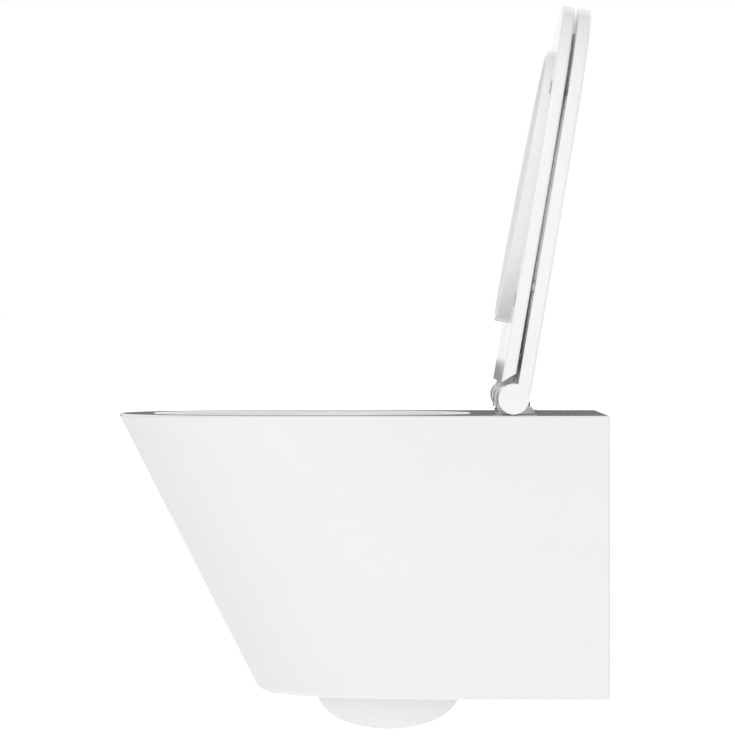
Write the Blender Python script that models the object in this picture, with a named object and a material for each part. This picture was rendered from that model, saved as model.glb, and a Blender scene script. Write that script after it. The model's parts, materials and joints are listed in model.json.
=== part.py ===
"""Wall-hung WC pan with a slim soft-close seat and lid, both raised.

Metres, +Z up. The origin is on the wall face, midway between the two wall studs. The pan reaches out from
the wall along -Y. Right is +X, as seen by someone standing in front of it. The seat and the lid turn about
one axis along X, and are modelled closed in that axis's own frame, then raised by their parent empty. The
china is made as the castings it is stuck together from: rim, skirt, bowl, trap and flush inlet. The seat's
inner lip is a liner of its own.
"""

import math

import bmesh
import bpy
from mathutils import Matrix

GAP = 0.0003  # between two pieces that touch
PAST = 0.01  # how far a cutter runs past what it cuts
FAR_PAST = 0.02
CHAMFER = 0.001

# Pan, outside
RIM_HEIGHT = 0.085  # rim above the wall studs
PAN_LENGTH = 0.533  # wall face to front tip, at the rim
PAN_WIDTH = 0.360
PAN_DEPTH = 0.304  # rim down to the flat underside
PAN_NOSE = 0.210  # length of the rounded front at the rim
FRONT_RAKE = 0.2908 * PAN_LENGTH  # how much shorter the pan is at its underside
SIDE_TAPER = 0.007  # each side, from the rim to the underside
FOOT_NOSE = 0.280
RIM_EDGE = 0.004
FOOT_EDGE = 0.009
WALL = 0.011
DECK = 0.016
REAR_PLATE = 0.018
REAR_PLATE_DROP = 0.124  # rim down to the lower edge of the plate that meets the wall
REAR_FLANGE = 0.040  # what stays of the plate on each side of the opening below it
REACH_IN = 0.095  # how far that opening runs forward along the underside

# Bowl
BOWL_BACK = 0.27955 * PAN_LENGTH  # wall face to the back of the opening
RIM_FRONT = 0.042
RIM_SIDE = 0.038
BOWL_DEPTH = 0.262
SUMP_RADIUS = 0.034
SUMP_CENTRE = 0.5328 * PAN_LENGTH  # from the wall
BOWL_STEPS = 8
BOWL_POINTS = 32

# Trap and connections
TRAP_BORE = 0.027
TRAP_DIP = 0.020  # bottom of the bowl down to the ends of the bend
TRAP_BOTTOM = 0.308  # rim down to the centre line at the bend
BEND_CENTRE = 0.4428 * PAN_LENGTH  # from the wall
LIMB_FOOT = 0.3602 * PAN_LENGTH
LIMB_TOP = 0.2889 * PAN_LENGTH
LIMB_DROP = 0.034  # weir down to the top of the rising limb
WEIR_CENTRE = 0.114  # from the wall, as far as the outlet's bend needs
WEIR_DROP = 0.190
WEIR_WIDER = 0.004
OUTLET_BEND = 0.063
OUTLET_DROP = 0.185
OUTLET_BORE = 0.0425
SPIGOT_RADIUS = 0.051
SPIGOT_SETBACK = 0.008
SEAL_WALL = 0.0019
SEAL_MOUTH = 0.004  # seal's end behind the spigot's end
PIPE_END = 0.0005  # pipes and studs stop this far from the wall face
BULGE = (0.052, 0.078, 0.040)  # half sizes of the swelling under the bend
INLET_DROP = 0.050
INLET_BORE = 0.0275
INLET_DEPTH = 0.034
INLET_WALL = 0.009
FLUSH_BORE = 0.020
FLUSH_SLOT = (0.050, 0.014)
FLUSH_START = 0.050  # wall face to where the flush duct leaves the inlet
PIPE_WALL = 0.0025
SOCKET_LENGTH = 0.042

# Wall fixings
STUD_CENTRES = 0.180
STUD_RADIUS = 0.006
STUD_LENGTH = 0.058
SLEEVE_WALL = 0.0019
SLEEVE_FLANGE = (0.014, 0.002)
STUD_WASHER = (0.015, 0.0025)
STUD_NUT = (0.011, 0.010)

# Seat and lid, in the hinge's frame
HINGE_SETBACK = 0.103  # wall face to the hinge axis
SEAT_OVERHANG = 0.004  # past the pan's tip
SEAT_THICK = 0.014
LID_THICK = 0.0145
PLATE_GAP = 0.004
SEAT_LIFT = 0.002  # seat's underside above the rim
SEAT_FRONT = 0.058  # width of the seat in front of its opening
SEAT_SIDE = 0.065
SEAT_BACK = 0.086  # hinge axis to the opening
LIP_WALL = 0.006
LIP_FRONT = 0.0076  # how far the lip hangs below the seat
LIP_BACK = 0.0145
KNUCKLE_GAP = 0.0045
ROLL_CLEAR = 0.0015  # lid's roll above the rim
LID_BORDER = 0.028
LID_RECESS = 0.006
TOP_EDGE = 0.004
SEAT_FOOT_EDGE = 0.003
LID_FOOT_EDGE = 0.002
SEAT_CLEAR = 0.0015  # seat's plate to the hinge discs
SEAT_BEVEL = 0.012  # how much further forward the plate starts at its top
RECESS_BACK = 0.046
LID_WALL_GAP = 0.013  # raised lid to the wall

# Hinge sets
FIXING_CENTRES = 0.155
FIXING_SETBACK = 0.096  # wall face to the seat fixings
DISC_RADIUS = 0.021
DISC_HEIGHT = 0.006
DISC_EDGE = 0.0012
POST_RADIUS = 0.005
POST_HEIGHT = 0.0146
GROOVE_RADIUS = 0.0036
GROOVE = (0.0094, 0.0130)
SHOULDER = (0.0065, 0.0016)
SHANK_RADIUS = 0.004
SHANK_PAST_NUT = 0.004
BLOCK_LENGTH = 0.053
BLOCK_RADIUS = 0.0155
SIDE_GAP = 0.0008
LUG_WIDTH = 0.020
LUG_RADIUS = 0.012
LUG_ROOT = 0.006  # how far a lug runs into the seat's plate
LUG_INSET = 0.001  # below the plate's top and above its underside
SHAFT_RADIUS = 0.0045
SHAFT_FLAT = 0.0032
SHAFT_GRIP = 0.018
POCKET = 0.0175
DAMPER_RADIUS = 0.0094
DAMPER_WALL = 0.0016
CAP_THICK = 0.0026
VANE = 0.0024
LATCH_THICK = 0.0024
LATCH_ARM = 0.0019
LATCH_FRONT = 0.0085
BUTTON_EDGE = 0.0006
BUTTON = (0.0144, 0.0022, 0.0054)
BUTTON_TRAVEL = 0.0024
SPRING_RADIUS = 0.0020
SPRING_WIRE = 0.0003
SPRING_TURNS = 4
COIL_POINTS = 8  # to a turn
SPRING_SEAT = 0.0134  # post axis to the spring's fixed end
BUSH_RADIUS = 0.0062
BUSH_OFFSET = 0.0015
BUSH_PLAY = 0.0005
BUSH_COLLAR = (0.012, 0.003)
RUBBER_WASHER = (0.013, 0.004)
STEEL_WASHER = (0.012, 0.0012)
WING_NUT = (0.008, 0.011)
WING = (0.009, 0.003, 0.009)
WING_LIFT = 0.001

# Buffers: pad radius, distance in from the seat's side, distance from the hinge axis
BUFFER_STEM = (0.003, 0.005)
PAD_EDGE = 0.0005
SEAT_PAD = 0.008
LID_PAD = 0.007
FRONT_PAD_TO_TIP = 0.097
SEAT_PADS = {"front": 0.050, "rear": 0.030}
LID_PADS = {"front": 0.050, "rear": 0.014}
SEAT_REAR_PAD = 0.105
LID_REAR_PAD = 0.122

# Worked out from the sizes above
HINGE_RISE = SEAT_LIFT + SEAT_THICK + PLATE_GAP / 2  # axis above the rim
HINGE_AXIS = (0, -HINGE_SETBACK, RIM_HEIGHT + HINGE_RISE)
SEAT_REACH = PAN_LENGTH - HINGE_SETBACK + SEAT_OVERHANG
SEAT_TOP = -PLATE_GAP / 2
SEAT_BOTTOM = SEAT_TOP - SEAT_THICK
LID_BOTTOM = PLATE_GAP / 2
LID_TOP = LID_BOTTOM + LID_THICK
ROLL_RADIUS = HINGE_RISE - ROLL_CLEAR
SWEEP_RADIUS = ROLL_RADIUS + KNUCKLE_GAP
LEAN = math.asin((HINGE_SETBACK - LID_WALL_GAP - LID_TOP) / SEAT_REACH)
BLOCK_IN = (FIXING_CENTRES - BLOCK_LENGTH) / 2
BLOCK_OUT = (FIXING_CENTRES + BLOCK_LENGTH) / 2
LUG_OUT = BLOCK_IN - SIDE_GAP
LUG_IN = LUG_OUT - LUG_WIDTH
MIDDLE_ROLL = LUG_IN - SIDE_GAP
OUTER_ROLL = BLOCK_OUT + SIDE_GAP
SHAFT_END = POCKET + OUTER_ROLL - BLOCK_OUT + SHAFT_GRIP
DECK_HOLE = BUSH_RADIUS + BUSH_OFFSET + BUSH_PLAY
STUD_HOLE = STUD_RADIUS + SLEEVE_WALL + 2 * GAP
POST_OFFSET = HINGE_SETBACK - FIXING_SETBACK
SEAT_START = DISC_RADIUS - POST_OFFSET + SEAT_CLEAR  # axis to where the seat's plate starts at its foot

SIDES = {"right": 1, "left": -1}
AXES = {
    "X": Matrix.Rotation(math.radians(90), 4, "Y"),
    "Y": Matrix.Rotation(math.radians(-90), 4, "X"),
    "Z": Matrix.Identity(4),
}

# Linear colour, roughness, metallic
FINISHES = {
    "glazed_china": ((0.87, 0.87, 0.86), 0.06, 0.0),
    "duroplast": ((0.88, 0.88, 0.87), 0.12, 0.0),
    "stainless": ((0.55, 0.55, 0.56), 0.25, 1.0),
    "zinc_steel": ((0.62, 0.63, 0.66), 0.35, 1.0),
    "white_plastic": ((0.80, 0.80, 0.79), 0.35, 0.0),
    "grey_plastic": ((0.32, 0.33, 0.34), 0.45, 0.0),
    "clear_rubber": ((0.62, 0.62, 0.60), 0.50, 0.0),
    "black_rubber": ((0.03, 0.03, 0.03), 0.70, 0.0),
}


def clear_scene():
    for thing in list(bpy.data.objects):
        bpy.data.objects.remove(thing)


def finish(name):
    made = bpy.data.materials.get(name)
    if made:
        return made
    colour, roughness, metallic = FINISHES[name]
    made = bpy.data.materials.new(name)
    made.use_nodes = True
    shader = made.node_tree.nodes["Principled BSDF"]
    shader.inputs["Base Color"].default_value = (*colour, 1)
    shader.inputs["Roughness"].default_value = roughness
    shader.inputs["Metallic"].default_value = metallic
    return made


def piece(name, bm, material="grey_plastic", parent=None):
    """Turns a bmesh into an object with its finish."""
    mesh = bpy.data.meshes.new(name)
    bm.to_mesh(mesh)
    bm.free()
    mesh.materials.append(finish(material))
    made = bpy.data.objects.new(name, mesh)
    bpy.context.scene.collection.objects.link(made)
    made.parent = parent
    return made


def combine(target, other, operation):
    """Joins, cuts or trims the target by a second shape in the same frame, which is used up."""
    tool = piece("tool", other, parent=target.parent)
    modifier = target.modifiers.new("combine", "BOOLEAN")
    modifier.operation = operation
    modifier.solver = "EXACT"
    modifier.object = tool
    bpy.context.view_layer.update()
    graph = bpy.context.evaluated_depsgraph_get()
    mesh = bpy.data.meshes.new_from_object(target.evaluated_get(graph))
    target.modifiers.clear()
    old = target.data
    target.data = mesh
    bpy.data.meshes.remove(old)
    mesh.name = target.name
    bpy.data.objects.remove(tool)


def join(target, *others):
    for other in others:
        combine(target, other, "UNION")


def cut(target, *others):
    for other in others:
        combine(target, other, "DIFFERENCE")


def smooth(target, degrees=35):
    target.data.shade_smooth()
    target.data.set_sharp_from_angle(angle=math.radians(degrees))
    return target


# Plain shapes


def box(low, high):
    bm = bmesh.new()
    bmesh.ops.create_cube(bm, size=1)
    size = [b - a for a, b in zip(low, high)]
    middle = [(a + b) / 2 for a, b in zip(low, high)]
    bmesh.ops.scale(bm, vec=size, verts=bm.verts)
    bmesh.ops.translate(bm, vec=middle, verts=bm.verts)
    return bm


def rod(radius, start, end, along="Z", at=(0, 0, 0), steps=24):
    """A round bar from start to end along an axis through the point."""
    bm = bmesh.new()
    length = abs(end - start)
    bmesh.ops.create_cone(bm, cap_ends=True, segments=steps, radius1=radius, radius2=radius, depth=length)
    bmesh.ops.translate(bm, vec=(0, 0, (start + end) / 2), verts=bm.verts)
    bmesh.ops.transform(bm, matrix=Matrix.Translation(at) @ AXES[along], verts=bm.verts)
    return bm


def turned(profile, along="Z", at=(0, 0, 0), steps=24):
    """A solid of revolution from (radius, height) pairs, with height along the axis."""
    bm = bmesh.new()
    verts = [bm.verts.new((radius, 0, height)) for radius, height in profile]
    pairs = list(zip(verts, verts[1:]))
    if profile[0][0] > 0:
        pairs.append((verts[-1], verts[0]))
    edges = [bm.edges.new(pair) for pair in pairs]
    bmesh.ops.spin(
        bm, geom=verts + edges, cent=(0, 0, 0), axis=(0, 0, 1), angle=math.tau, steps=steps, use_merge=True
    )
    bmesh.ops.remove_doubles(bm, verts=bm.verts, dist=1e-6)
    bmesh.ops.recalc_face_normals(bm, faces=bm.faces)
    bmesh.ops.transform(bm, matrix=Matrix.Translation(at) @ AXES[along], verts=bm.verts)
    return bm


def ring_profile(inner, outer, low, high):
    return [(inner, low), (outer, low), (outer, high), (inner, high)]


def loft(rings):
    """A closed solid through rings with equal numbers of points, its ends filled."""
    bm = bmesh.new()
    base = end = bm.faces.new([bm.verts.new(point) for point in rings[0]])
    for ring in rings[1:]:
        grown = bmesh.ops.extrude_face_region(bm, geom=[end])
        if end is not base:
            bmesh.ops.delete(bm, geom=[end], context="FACES_ONLY")
        end = next(item for item in grown["geom"] if isinstance(item, bmesh.types.BMFace))
        for vert, point in zip(end.verts, ring):
            vert.co = point
    bmesh.ops.recalc_face_normals(bm, faces=bm.faces)
    return bm


def prism(outline, low, high):
    """An outline in plan, drawn up from low to high."""
    return loft([[(x, y, z) for x, y in outline] for z in (low, high)])


def bar(outline, start, end):
    """An outline in side view (y, z), drawn along X."""
    return loft([[(x, y, z) for y, z in outline] for x in (start, end)])


def arc(radius, start, end, steps):
    """Points on a circle about the origin, angles in degrees."""
    angles = [math.radians(start + (end - start) * i / steps) for i in range(steps + 1)]
    return [(radius * math.cos(a), radius * math.sin(a)) for a in angles]


def mix(a, b, share):
    return a + (b - a) * share


def power_arc(half_width, length, power, angle):
    """A point on a squared-off ellipse quarter or half."""
    c, s = math.cos(angle), math.sin(angle)
    x = math.copysign(half_width * abs(c) ** (2 / power), c)
    return x, math.copysign(length * abs(s) ** (2 / power), s)


def d_outline(half_width, reach, nose, power, back, steps=22):
    """A D in plan: straight sides forward from the back edge, then a rounded nose."""
    points = [(half_width, -back)]
    for i in range(steps + 1):
        x, forward = power_arc(half_width, nose, power, math.pi * i / steps)
        points.append((x, -(reach - nose) - abs(forward)))
    points.append((-half_width, -back))
    return points


def egg(front, back, half_width, power, steps=BOWL_POINTS):
    """A closed squared-off ellipse between two distances from the back."""
    middle, half_length = (front + back) / 2, (front - back) / 2
    points = [power_arc(half_width, half_length, power, math.tau * (i + 0.5) / steps) for i in range(steps)]
    return [(x, y - middle) for x, y in points]


def soften(bm, height, width, segments, skip_back):
    """Rounds the edges that lie at one height, apart from those along the back."""
    edges = []
    for edge in bm.edges:
        level = all(abs(vert.co.z - height) < 1e-6 for vert in edge.verts)
        at_back = all(vert.co.y > skip_back - 1e-6 for vert in edge.verts)
        if level and not at_back:
            edges.append(edge)
    bmesh.ops.bevel(
        bm, geom=edges, offset=width, segments=segments, profile=0.5, affect="EDGES", clamp_overlap=True
    )
    return bm


# Pan


def pan_ring(drop, inset, back):
    """The pan's plan outline at a depth below the rim, moved in from the outside."""
    rim = d_outline(PAN_WIDTH / 2 - inset, PAN_LENGTH - inset, PAN_NOSE - inset, 2.25, back)
    half_width, reach = PAN_WIDTH / 2 - SIDE_TAPER, PAN_LENGTH - FRONT_RAKE
    foot = d_outline(half_width - inset, reach - inset, FOOT_NOSE - inset, 2.6, back)
    share = drop / PAN_DEPTH
    z = RIM_HEIGHT - drop
    return [(mix(a[0], b[0], share), mix(a[1], b[1], share), z) for a, b in zip(rim, foot)]


def pan_outside():
    bm = loft([pan_ring(PAN_DEPTH, 0, 0), pan_ring(0, 0, 0)])
    soften(bm, RIM_HEIGHT, RIM_EDGE, 3, 0)
    return soften(bm, RIM_HEIGHT - PAN_DEPTH, FOOT_EDGE, 3, 0)


def bowl_shape(grow, mouth):
    """The bowl's surface as a solid, grown outwards by a wall and run up past the rim by its mouth."""
    front = PAN_LENGTH - RIM_FRONT
    rings = []
    for i in range(BOWL_STEPS + 1):
        t = math.sin(math.pi / 2 * i / BOWL_STEPS)
        ahead = 1 - t**1.3
        behind = (1 - t**2) ** 0.5
        beside = (1 - t**2.2) ** 0.6
        outline = egg(
            mix(SUMP_CENTRE + SUMP_RADIUS, front, ahead) + grow,
            mix(SUMP_CENTRE - SUMP_RADIUS, BOWL_BACK, behind) - grow,
            mix(SUMP_RADIUS, PAN_WIDTH / 2 - RIM_SIDE, beside) + grow,
            mix(2.0, 2.4, beside),
        )
        drop = t * (BOWL_DEPTH + grow)
        rings.append([(x, y, RIM_HEIGHT - drop) for x, y in outline])
    if mouth:
        rings.insert(0, [(x, y, z + mouth) for x, y, z in rings[0]])
    return loft(rings)


def trap_shape(wall, bore_end, last):
    """The trap's passage as a solid tube: down from the sump, round the bend, over the weir and out."""
    route = [
        (SUMP_CENTRE, BOWL_DEPTH - TRAP_BORE, TRAP_BORE),
        (SUMP_CENTRE, BOWL_DEPTH + TRAP_DIP, TRAP_BORE),
        (BEND_CENTRE, TRAP_BOTTOM, TRAP_BORE),
        (LIMB_FOOT, BOWL_DEPTH + TRAP_DIP, TRAP_BORE),
        (LIMB_TOP, WEIR_DROP + LIMB_DROP, TRAP_BORE),
        (WEIR_CENTRE, WEIR_DROP, TRAP_BORE + WEIR_WIDER),
        (OUTLET_BEND, OUTLET_DROP, bore_end),
        (last, OUTLET_DROP, bore_end),
    ]
    return tube([(0, -y, RIM_HEIGHT - drop) for y, drop, _ in route], [bore + wall for *_, bore in route])


def tube(points, radii, bezier=True, sides=16, steps=3):
    """A solid tube along a path, as a bmesh."""
    curve = bpy.data.curves.new("path", "CURVE")
    curve.dimensions = "3D"
    curve.bevel_depth = 1.0
    curve.bevel_resolution = sides // 4 - 1
    curve.use_fill_caps = True
    curve.resolution_u = steps
    spline = curve.splines.new("BEZIER" if bezier else "POLY")
    knots = spline.bezier_points if bezier else spline.points
    knots.add(len(points) - 1)
    for knot, point, radius in zip(knots, points, radii):
        knot.co = point if bezier else (*point, 1)
        knot.radius = radius
        if bezier:
            knot.handle_left_type = "AUTO"
            knot.handle_right_type = "AUTO"
    guide = bpy.data.objects.new("path", curve)
    bpy.context.scene.collection.objects.link(guide)
    bpy.context.view_layer.update()
    graph = bpy.context.evaluated_depsgraph_get()
    mesh = bpy.data.meshes.new_from_object(guide.evaluated_get(graph))
    bm = bmesh.new()
    bm.from_mesh(mesh)
    bpy.data.objects.remove(guide)
    bpy.data.meshes.remove(mesh)
    bmesh.ops.remove_doubles(bm, verts=bm.verts, dist=1e-6)
    bmesh.ops.recalc_face_normals(bm, faces=bm.faces)
    return bm


def bulge(grow):
    bm = bmesh.new()
    bmesh.ops.create_uvsphere(bm, u_segments=20, v_segments=10, radius=1)
    bmesh.ops.scale(bm, vec=[half + grow for half in BULGE], verts=bm.verts)
    bmesh.ops.translate(bm, vec=(0, -BEND_CENTRE, RIM_HEIGHT - TRAP_BOTTOM), verts=bm.verts)
    return bm


def flush_cutters():
    """The flush water's way in: inlet bore, duct and the slot into the bowl."""
    inlet = (0, 0, RIM_HEIGHT - INLET_DROP)
    slot_x, slot_z = FLUSH_SLOT[0] / 2, FLUSH_SLOT[1] / 2
    slot_start = BOWL_BACK - 2 * WALL
    yield rod(INLET_BORE, -INLET_DEPTH, FAR_PAST, "Y", inlet, 32)
    yield rod(FLUSH_BORE, -slot_start, -INLET_DEPTH + PAST, "Y", inlet, 32)
    yield box((-slot_x, -BOWL_BACK - FAR_PAST, inlet[2] - slot_z), (slot_x, -slot_start, inlet[2] + slot_z))


def pan_rim():
    """Flat top of the pan, round the bowl's mouth, with the seat's fixing holes behind it."""
    rim = piece("pan_rim", pan_outside(), "glazed_china")
    far = PAN_LENGTH + FAR_PAST
    cut(rim, box((-far, -far, RIM_HEIGHT - PAN_DEPTH - PAST), (far, far, RIM_HEIGHT - DECK)))
    cut(rim, bowl_shape(WALL + GAP, FAR_PAST))
    for side in SIDES.values():
        fixing = (side * FIXING_CENTRES / 2, -FIXING_SETBACK, RIM_HEIGHT)
        cut(rim, rod(DECK_HOLE, -DECK - PAST, PAST, "Z", fixing, 20))
    smooth(rim)


def pan_skirt():
    """Side and front wall, underside and wall plate, open at the back below the plate."""
    skirt = piece("pan_skirt", pan_outside(), "glazed_china")
    far = PAN_LENGTH + FAR_PAST
    half = PAN_WIDTH / 2 - REAR_FLANGE
    plate_foot = RIM_HEIGHT - REAR_PLATE_DROP
    cut(
        skirt,
        box((-far, -far, RIM_HEIGHT - DECK - GAP), (far, far, RIM_HEIGHT + PAST)),
        loft([pan_ring(PAN_DEPTH - WALL, WALL, REAR_PLATE), pan_ring(0, WALL, REAR_PLATE)]),
        box((-half, -REACH_IN, RIM_HEIGHT - PAN_DEPTH - FAR_PAST), (half, FAR_PAST, plate_foot)),
        trap_shape(WALL + GAP, SPIGOT_RADIUS - WALL, SPIGOT_SETBACK),
        bulge(GAP),
        rod(INLET_BORE, -INLET_DEPTH, FAR_PAST, "Y", (0, 0, RIM_HEIGHT - INLET_DROP), 32),
    )
    for side in SIDES.values():
        cut(skirt, rod(STUD_HOLE, -REAR_PLATE - FAR_PAST, FAR_PAST, "Y", (side * STUD_CENTRES / 2, 0, 0), 20))
    smooth(skirt)


def pan_bowl():
    """Bowl with its sump, set in the rim."""
    bowl = piece("pan_bowl", bowl_shape(WALL, 0), "glazed_china")
    cut(bowl, bowl_shape(0, FAR_PAST), trap_shape(0, OUTLET_BORE, -FAR_PAST), *flush_cutters())
    smooth(bowl)


def pan_trap():
    """Trapway from under the sump over the weir to the outlet spigot, with the bulge round its bend."""
    trap = piece("pan_trap", trap_shape(WALL, SPIGOT_RADIUS - WALL, SPIGOT_SETBACK), "glazed_china")
    join(trap, bulge(0))
    cut(trap, trap_shape(0, OUTLET_BORE, -FAR_PAST), bowl_shape(WALL + GAP, FAR_PAST))
    smooth(trap)


def flush_inlet():
    """Boss behind the wall plate and the duct from it to the bowl."""
    at = (0, 0, RIM_HEIGHT - INLET_DROP)
    boss = rod(INLET_BORE + INLET_WALL, -FLUSH_START - INLET_WALL, -REAR_PLATE - GAP, "Y", at, 32)
    inlet = piece("flush_inlet", boss, "glazed_china")
    join(inlet, rod(FLUSH_BORE + INLET_WALL, -BOWL_BACK, -FLUSH_START, "Y", at, 32))
    half = INLET_BORE + INLET_WALL + PAST
    deck = RIM_HEIGHT - DECK - GAP
    cut(inlet, *flush_cutters(), bowl_shape(WALL + GAP, FAR_PAST))
    cut(inlet, box((-half, -BOWL_BACK - PAST, deck), (half, 0, deck + DECK)))
    smooth(inlet)


def connections():
    """Flush pipe and waste socket with their seals, cut off at the wall face."""
    inlet = (0, 0, RIM_HEIGHT - INLET_DROP)
    pipe = FLUSH_BORE + PIPE_WALL
    depth = INLET_DEPTH - 4 * GAP
    bore = turned(ring_profile(FLUSH_BORE, pipe, -depth, -PIPE_END), "Y", inlet, 32)
    smooth(piece("inlet_pipe", bore, "white_plastic"))
    seal = ring_profile(pipe + GAP, INLET_BORE - GAP, -depth, -PIPE_END)
    smooth(piece("inlet_seal", turned(seal, "Y", inlet, 32), "black_rubber"))
    outlet = (0, 0, RIM_HEIGHT - OUTLET_DROP)
    lip = SPIGOT_RADIUS + 2 * GAP + SEAL_WALL
    inner, start, stop = SPIGOT_RADIUS + 2 * GAP, SEAL_MOUTH - SOCKET_LENGTH, -SPIGOT_SETBACK - SEAL_MOUTH
    seal = ring_profile(inner, lip, start, stop)
    socket = [
        (OUTLET_BORE, -SPIGOT_SETBACK + GAP),
        (OUTLET_BORE, -PIPE_END),
        (lip + GAP + PIPE_WALL, -PIPE_END),
        (lip + GAP + PIPE_WALL, -SOCKET_LENGTH),
        (lip + GAP, -SOCKET_LENGTH),
        (lip + GAP, -SPIGOT_SETBACK + GAP),
    ]
    smooth(piece("outlet_seal", turned(seal, "Y", outlet, 32), "black_rubber"))
    smooth(piece("outlet_socket", turned(socket, "Y", outlet, 32), "white_plastic"))


def wall_fixing(name, side):
    """Stud, sleeve, washer and nut on one side of the wall plate."""
    centre = (side * STUD_CENTRES / 2, 0, 0)
    bore = STUD_RADIUS + GAP
    face = -REAR_PLATE - GAP
    stud = [
        (0, -STUD_LENGTH),
        (STUD_RADIUS - CHAMFER, -STUD_LENGTH),
        (STUD_RADIUS, CHAMFER - STUD_LENGTH),
        (STUD_RADIUS, -PIPE_END),
        (0, -PIPE_END),
    ]
    smooth(piece(f"wall_stud_{name}", turned(stud, "Y", centre, 16), "zinc_steel"))
    sleeve = [
        (bore, -2 * PIPE_END),
        (STUD_RADIUS + SLEEVE_WALL, -2 * PIPE_END),
        (STUD_RADIUS + SLEEVE_WALL, face),
        (SLEEVE_FLANGE[0], face),
        (SLEEVE_FLANGE[0], face - SLEEVE_FLANGE[1]),
        (bore, face - SLEEVE_FLANGE[1]),
    ]
    smooth(piece(f"stud_sleeve_{name}", turned(sleeve, "Y", centre, 16), "white_plastic"))
    face -= SLEEVE_FLANGE[1] + GAP
    washer = ring_profile(bore, STUD_WASHER[0], face - STUD_WASHER[1], face)
    smooth(piece(f"stud_washer_{name}", turned(washer, "Y", centre, 20), "zinc_steel"))
    face -= STUD_WASHER[1] + GAP
    nut = piece(f"stud_nut_{name}", rod(STUD_NUT[0], face - STUD_NUT[1], face, "Y", centre, 6), "zinc_steel")
    cut(nut, rod(bore, face - STUD_NUT[1] - PAST, face + PAST, "Y", centre, 16))
    smooth(nut)


# Hinge sets, in world place


def hinge_base(name, side):
    """Disc and grooved post above the deck; bush, washers and wing nut below it."""
    x = side * FIXING_CENTRES / 2
    at = (x, -FIXING_SETBACK, RIM_HEIGHT)
    bore = SHANK_RADIUS + GAP
    disc = [
        (bore, GAP),
        (DISC_RADIUS, GAP),
        (DISC_RADIUS, DISC_HEIGHT - DISC_EDGE),
        (DISC_RADIUS - DISC_EDGE, DISC_HEIGHT),
        (bore, DISC_HEIGHT),
    ]
    smooth(piece(f"hinge_disc_{name}", turned(disc, "Z", at, 28), "stainless"))

    foot = DISC_HEIGHT + GAP
    stack = -DECK - GAP
    bush_foot = stack - BUSH_COLLAR[1]
    rubber_foot = bush_foot - GAP - RUBBER_WASHER[1]
    washer_foot = rubber_foot - GAP - STEEL_WASHER[1]
    nut_foot = washer_foot - GAP - WING_NUT[1]
    post = [
        (0, nut_foot - SHANK_PAST_NUT),
        (SHANK_RADIUS, nut_foot - SHANK_PAST_NUT),
        (SHANK_RADIUS, foot),
        (SHOULDER[0], foot),
        (SHOULDER[0], foot + SHOULDER[1]),
        (POST_RADIUS, foot + SHOULDER[1]),
        (POST_RADIUS, GROOVE[0]),
        (GROOVE_RADIUS, GROOVE[0]),
        (GROOVE_RADIUS, GROOVE[1]),
        (POST_RADIUS, GROOVE[1]),
        (POST_RADIUS - CHAMFER, POST_HEIGHT),
        (0, POST_HEIGHT),
    ]
    smooth(piece(f"hinge_post_{name}", turned(post, "Z", at, 16), "stainless"))

    turn_axis = bpy.data.objects.new(f"bush_axis_{name}", None)
    bpy.context.scene.collection.objects.link(turn_axis)
    turn_axis.location = at
    bush = rod(BUSH_RADIUS, stack - BUSH_COLLAR[1] / 2, -GAP, "Z", (0, BUSH_OFFSET, 0), 16)
    bush = piece(f"eccentric_bush_{name}", bush, "white_plastic", turn_axis)
    join(bush, rod(BUSH_COLLAR[0], bush_foot, stack, "Z", (0, 0, 0), 24))
    cut(bush, rod(bore, bush_foot - PAST, PAST, "Z", (0, 0, 0), 16))
    smooth(bush)

    rubber = ring_profile(bore, RUBBER_WASHER[0], rubber_foot, bush_foot - GAP)
    smooth(piece(f"fixing_rubber_{name}", turned(rubber, "Z", at), "black_rubber"))
    washer = ring_profile(bore, STEEL_WASHER[0], washer_foot, rubber_foot - GAP)
    smooth(piece(f"fixing_washer_{name}", turned(washer, "Z", at), "zinc_steel"))
    nut = piece(f"fixing_nut_{name}", rod(WING_NUT[0], nut_foot, washer_foot - GAP, "Z", at), "white_plastic")
    half_x, half_y = WING_NUT[0] + WING[0], WING[1] / 2
    foot = at[2] + nut_foot + WING_LIFT
    join(nut, box((x - half_x, at[1] - half_y, foot), (x + half_x, at[1] + half_y, foot + WING[2])))
    cut(nut, rod(bore, nut_foot - PAST, washer_foot + PAST, "Z", at, 16))
    smooth(nut)


def end_x(end, t):
    """Distance from the middle for a depth t out of a block pocket, at its lid end or its seat end."""
    return BLOCK_OUT - POCKET + t if end == "lid" else BLOCK_IN + POCKET - t


def x_span(side, end, start, stop):
    """The same as a low-to-high pair along X."""
    return sorted(side * end_x(end, t) for t in (start, stop))


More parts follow.
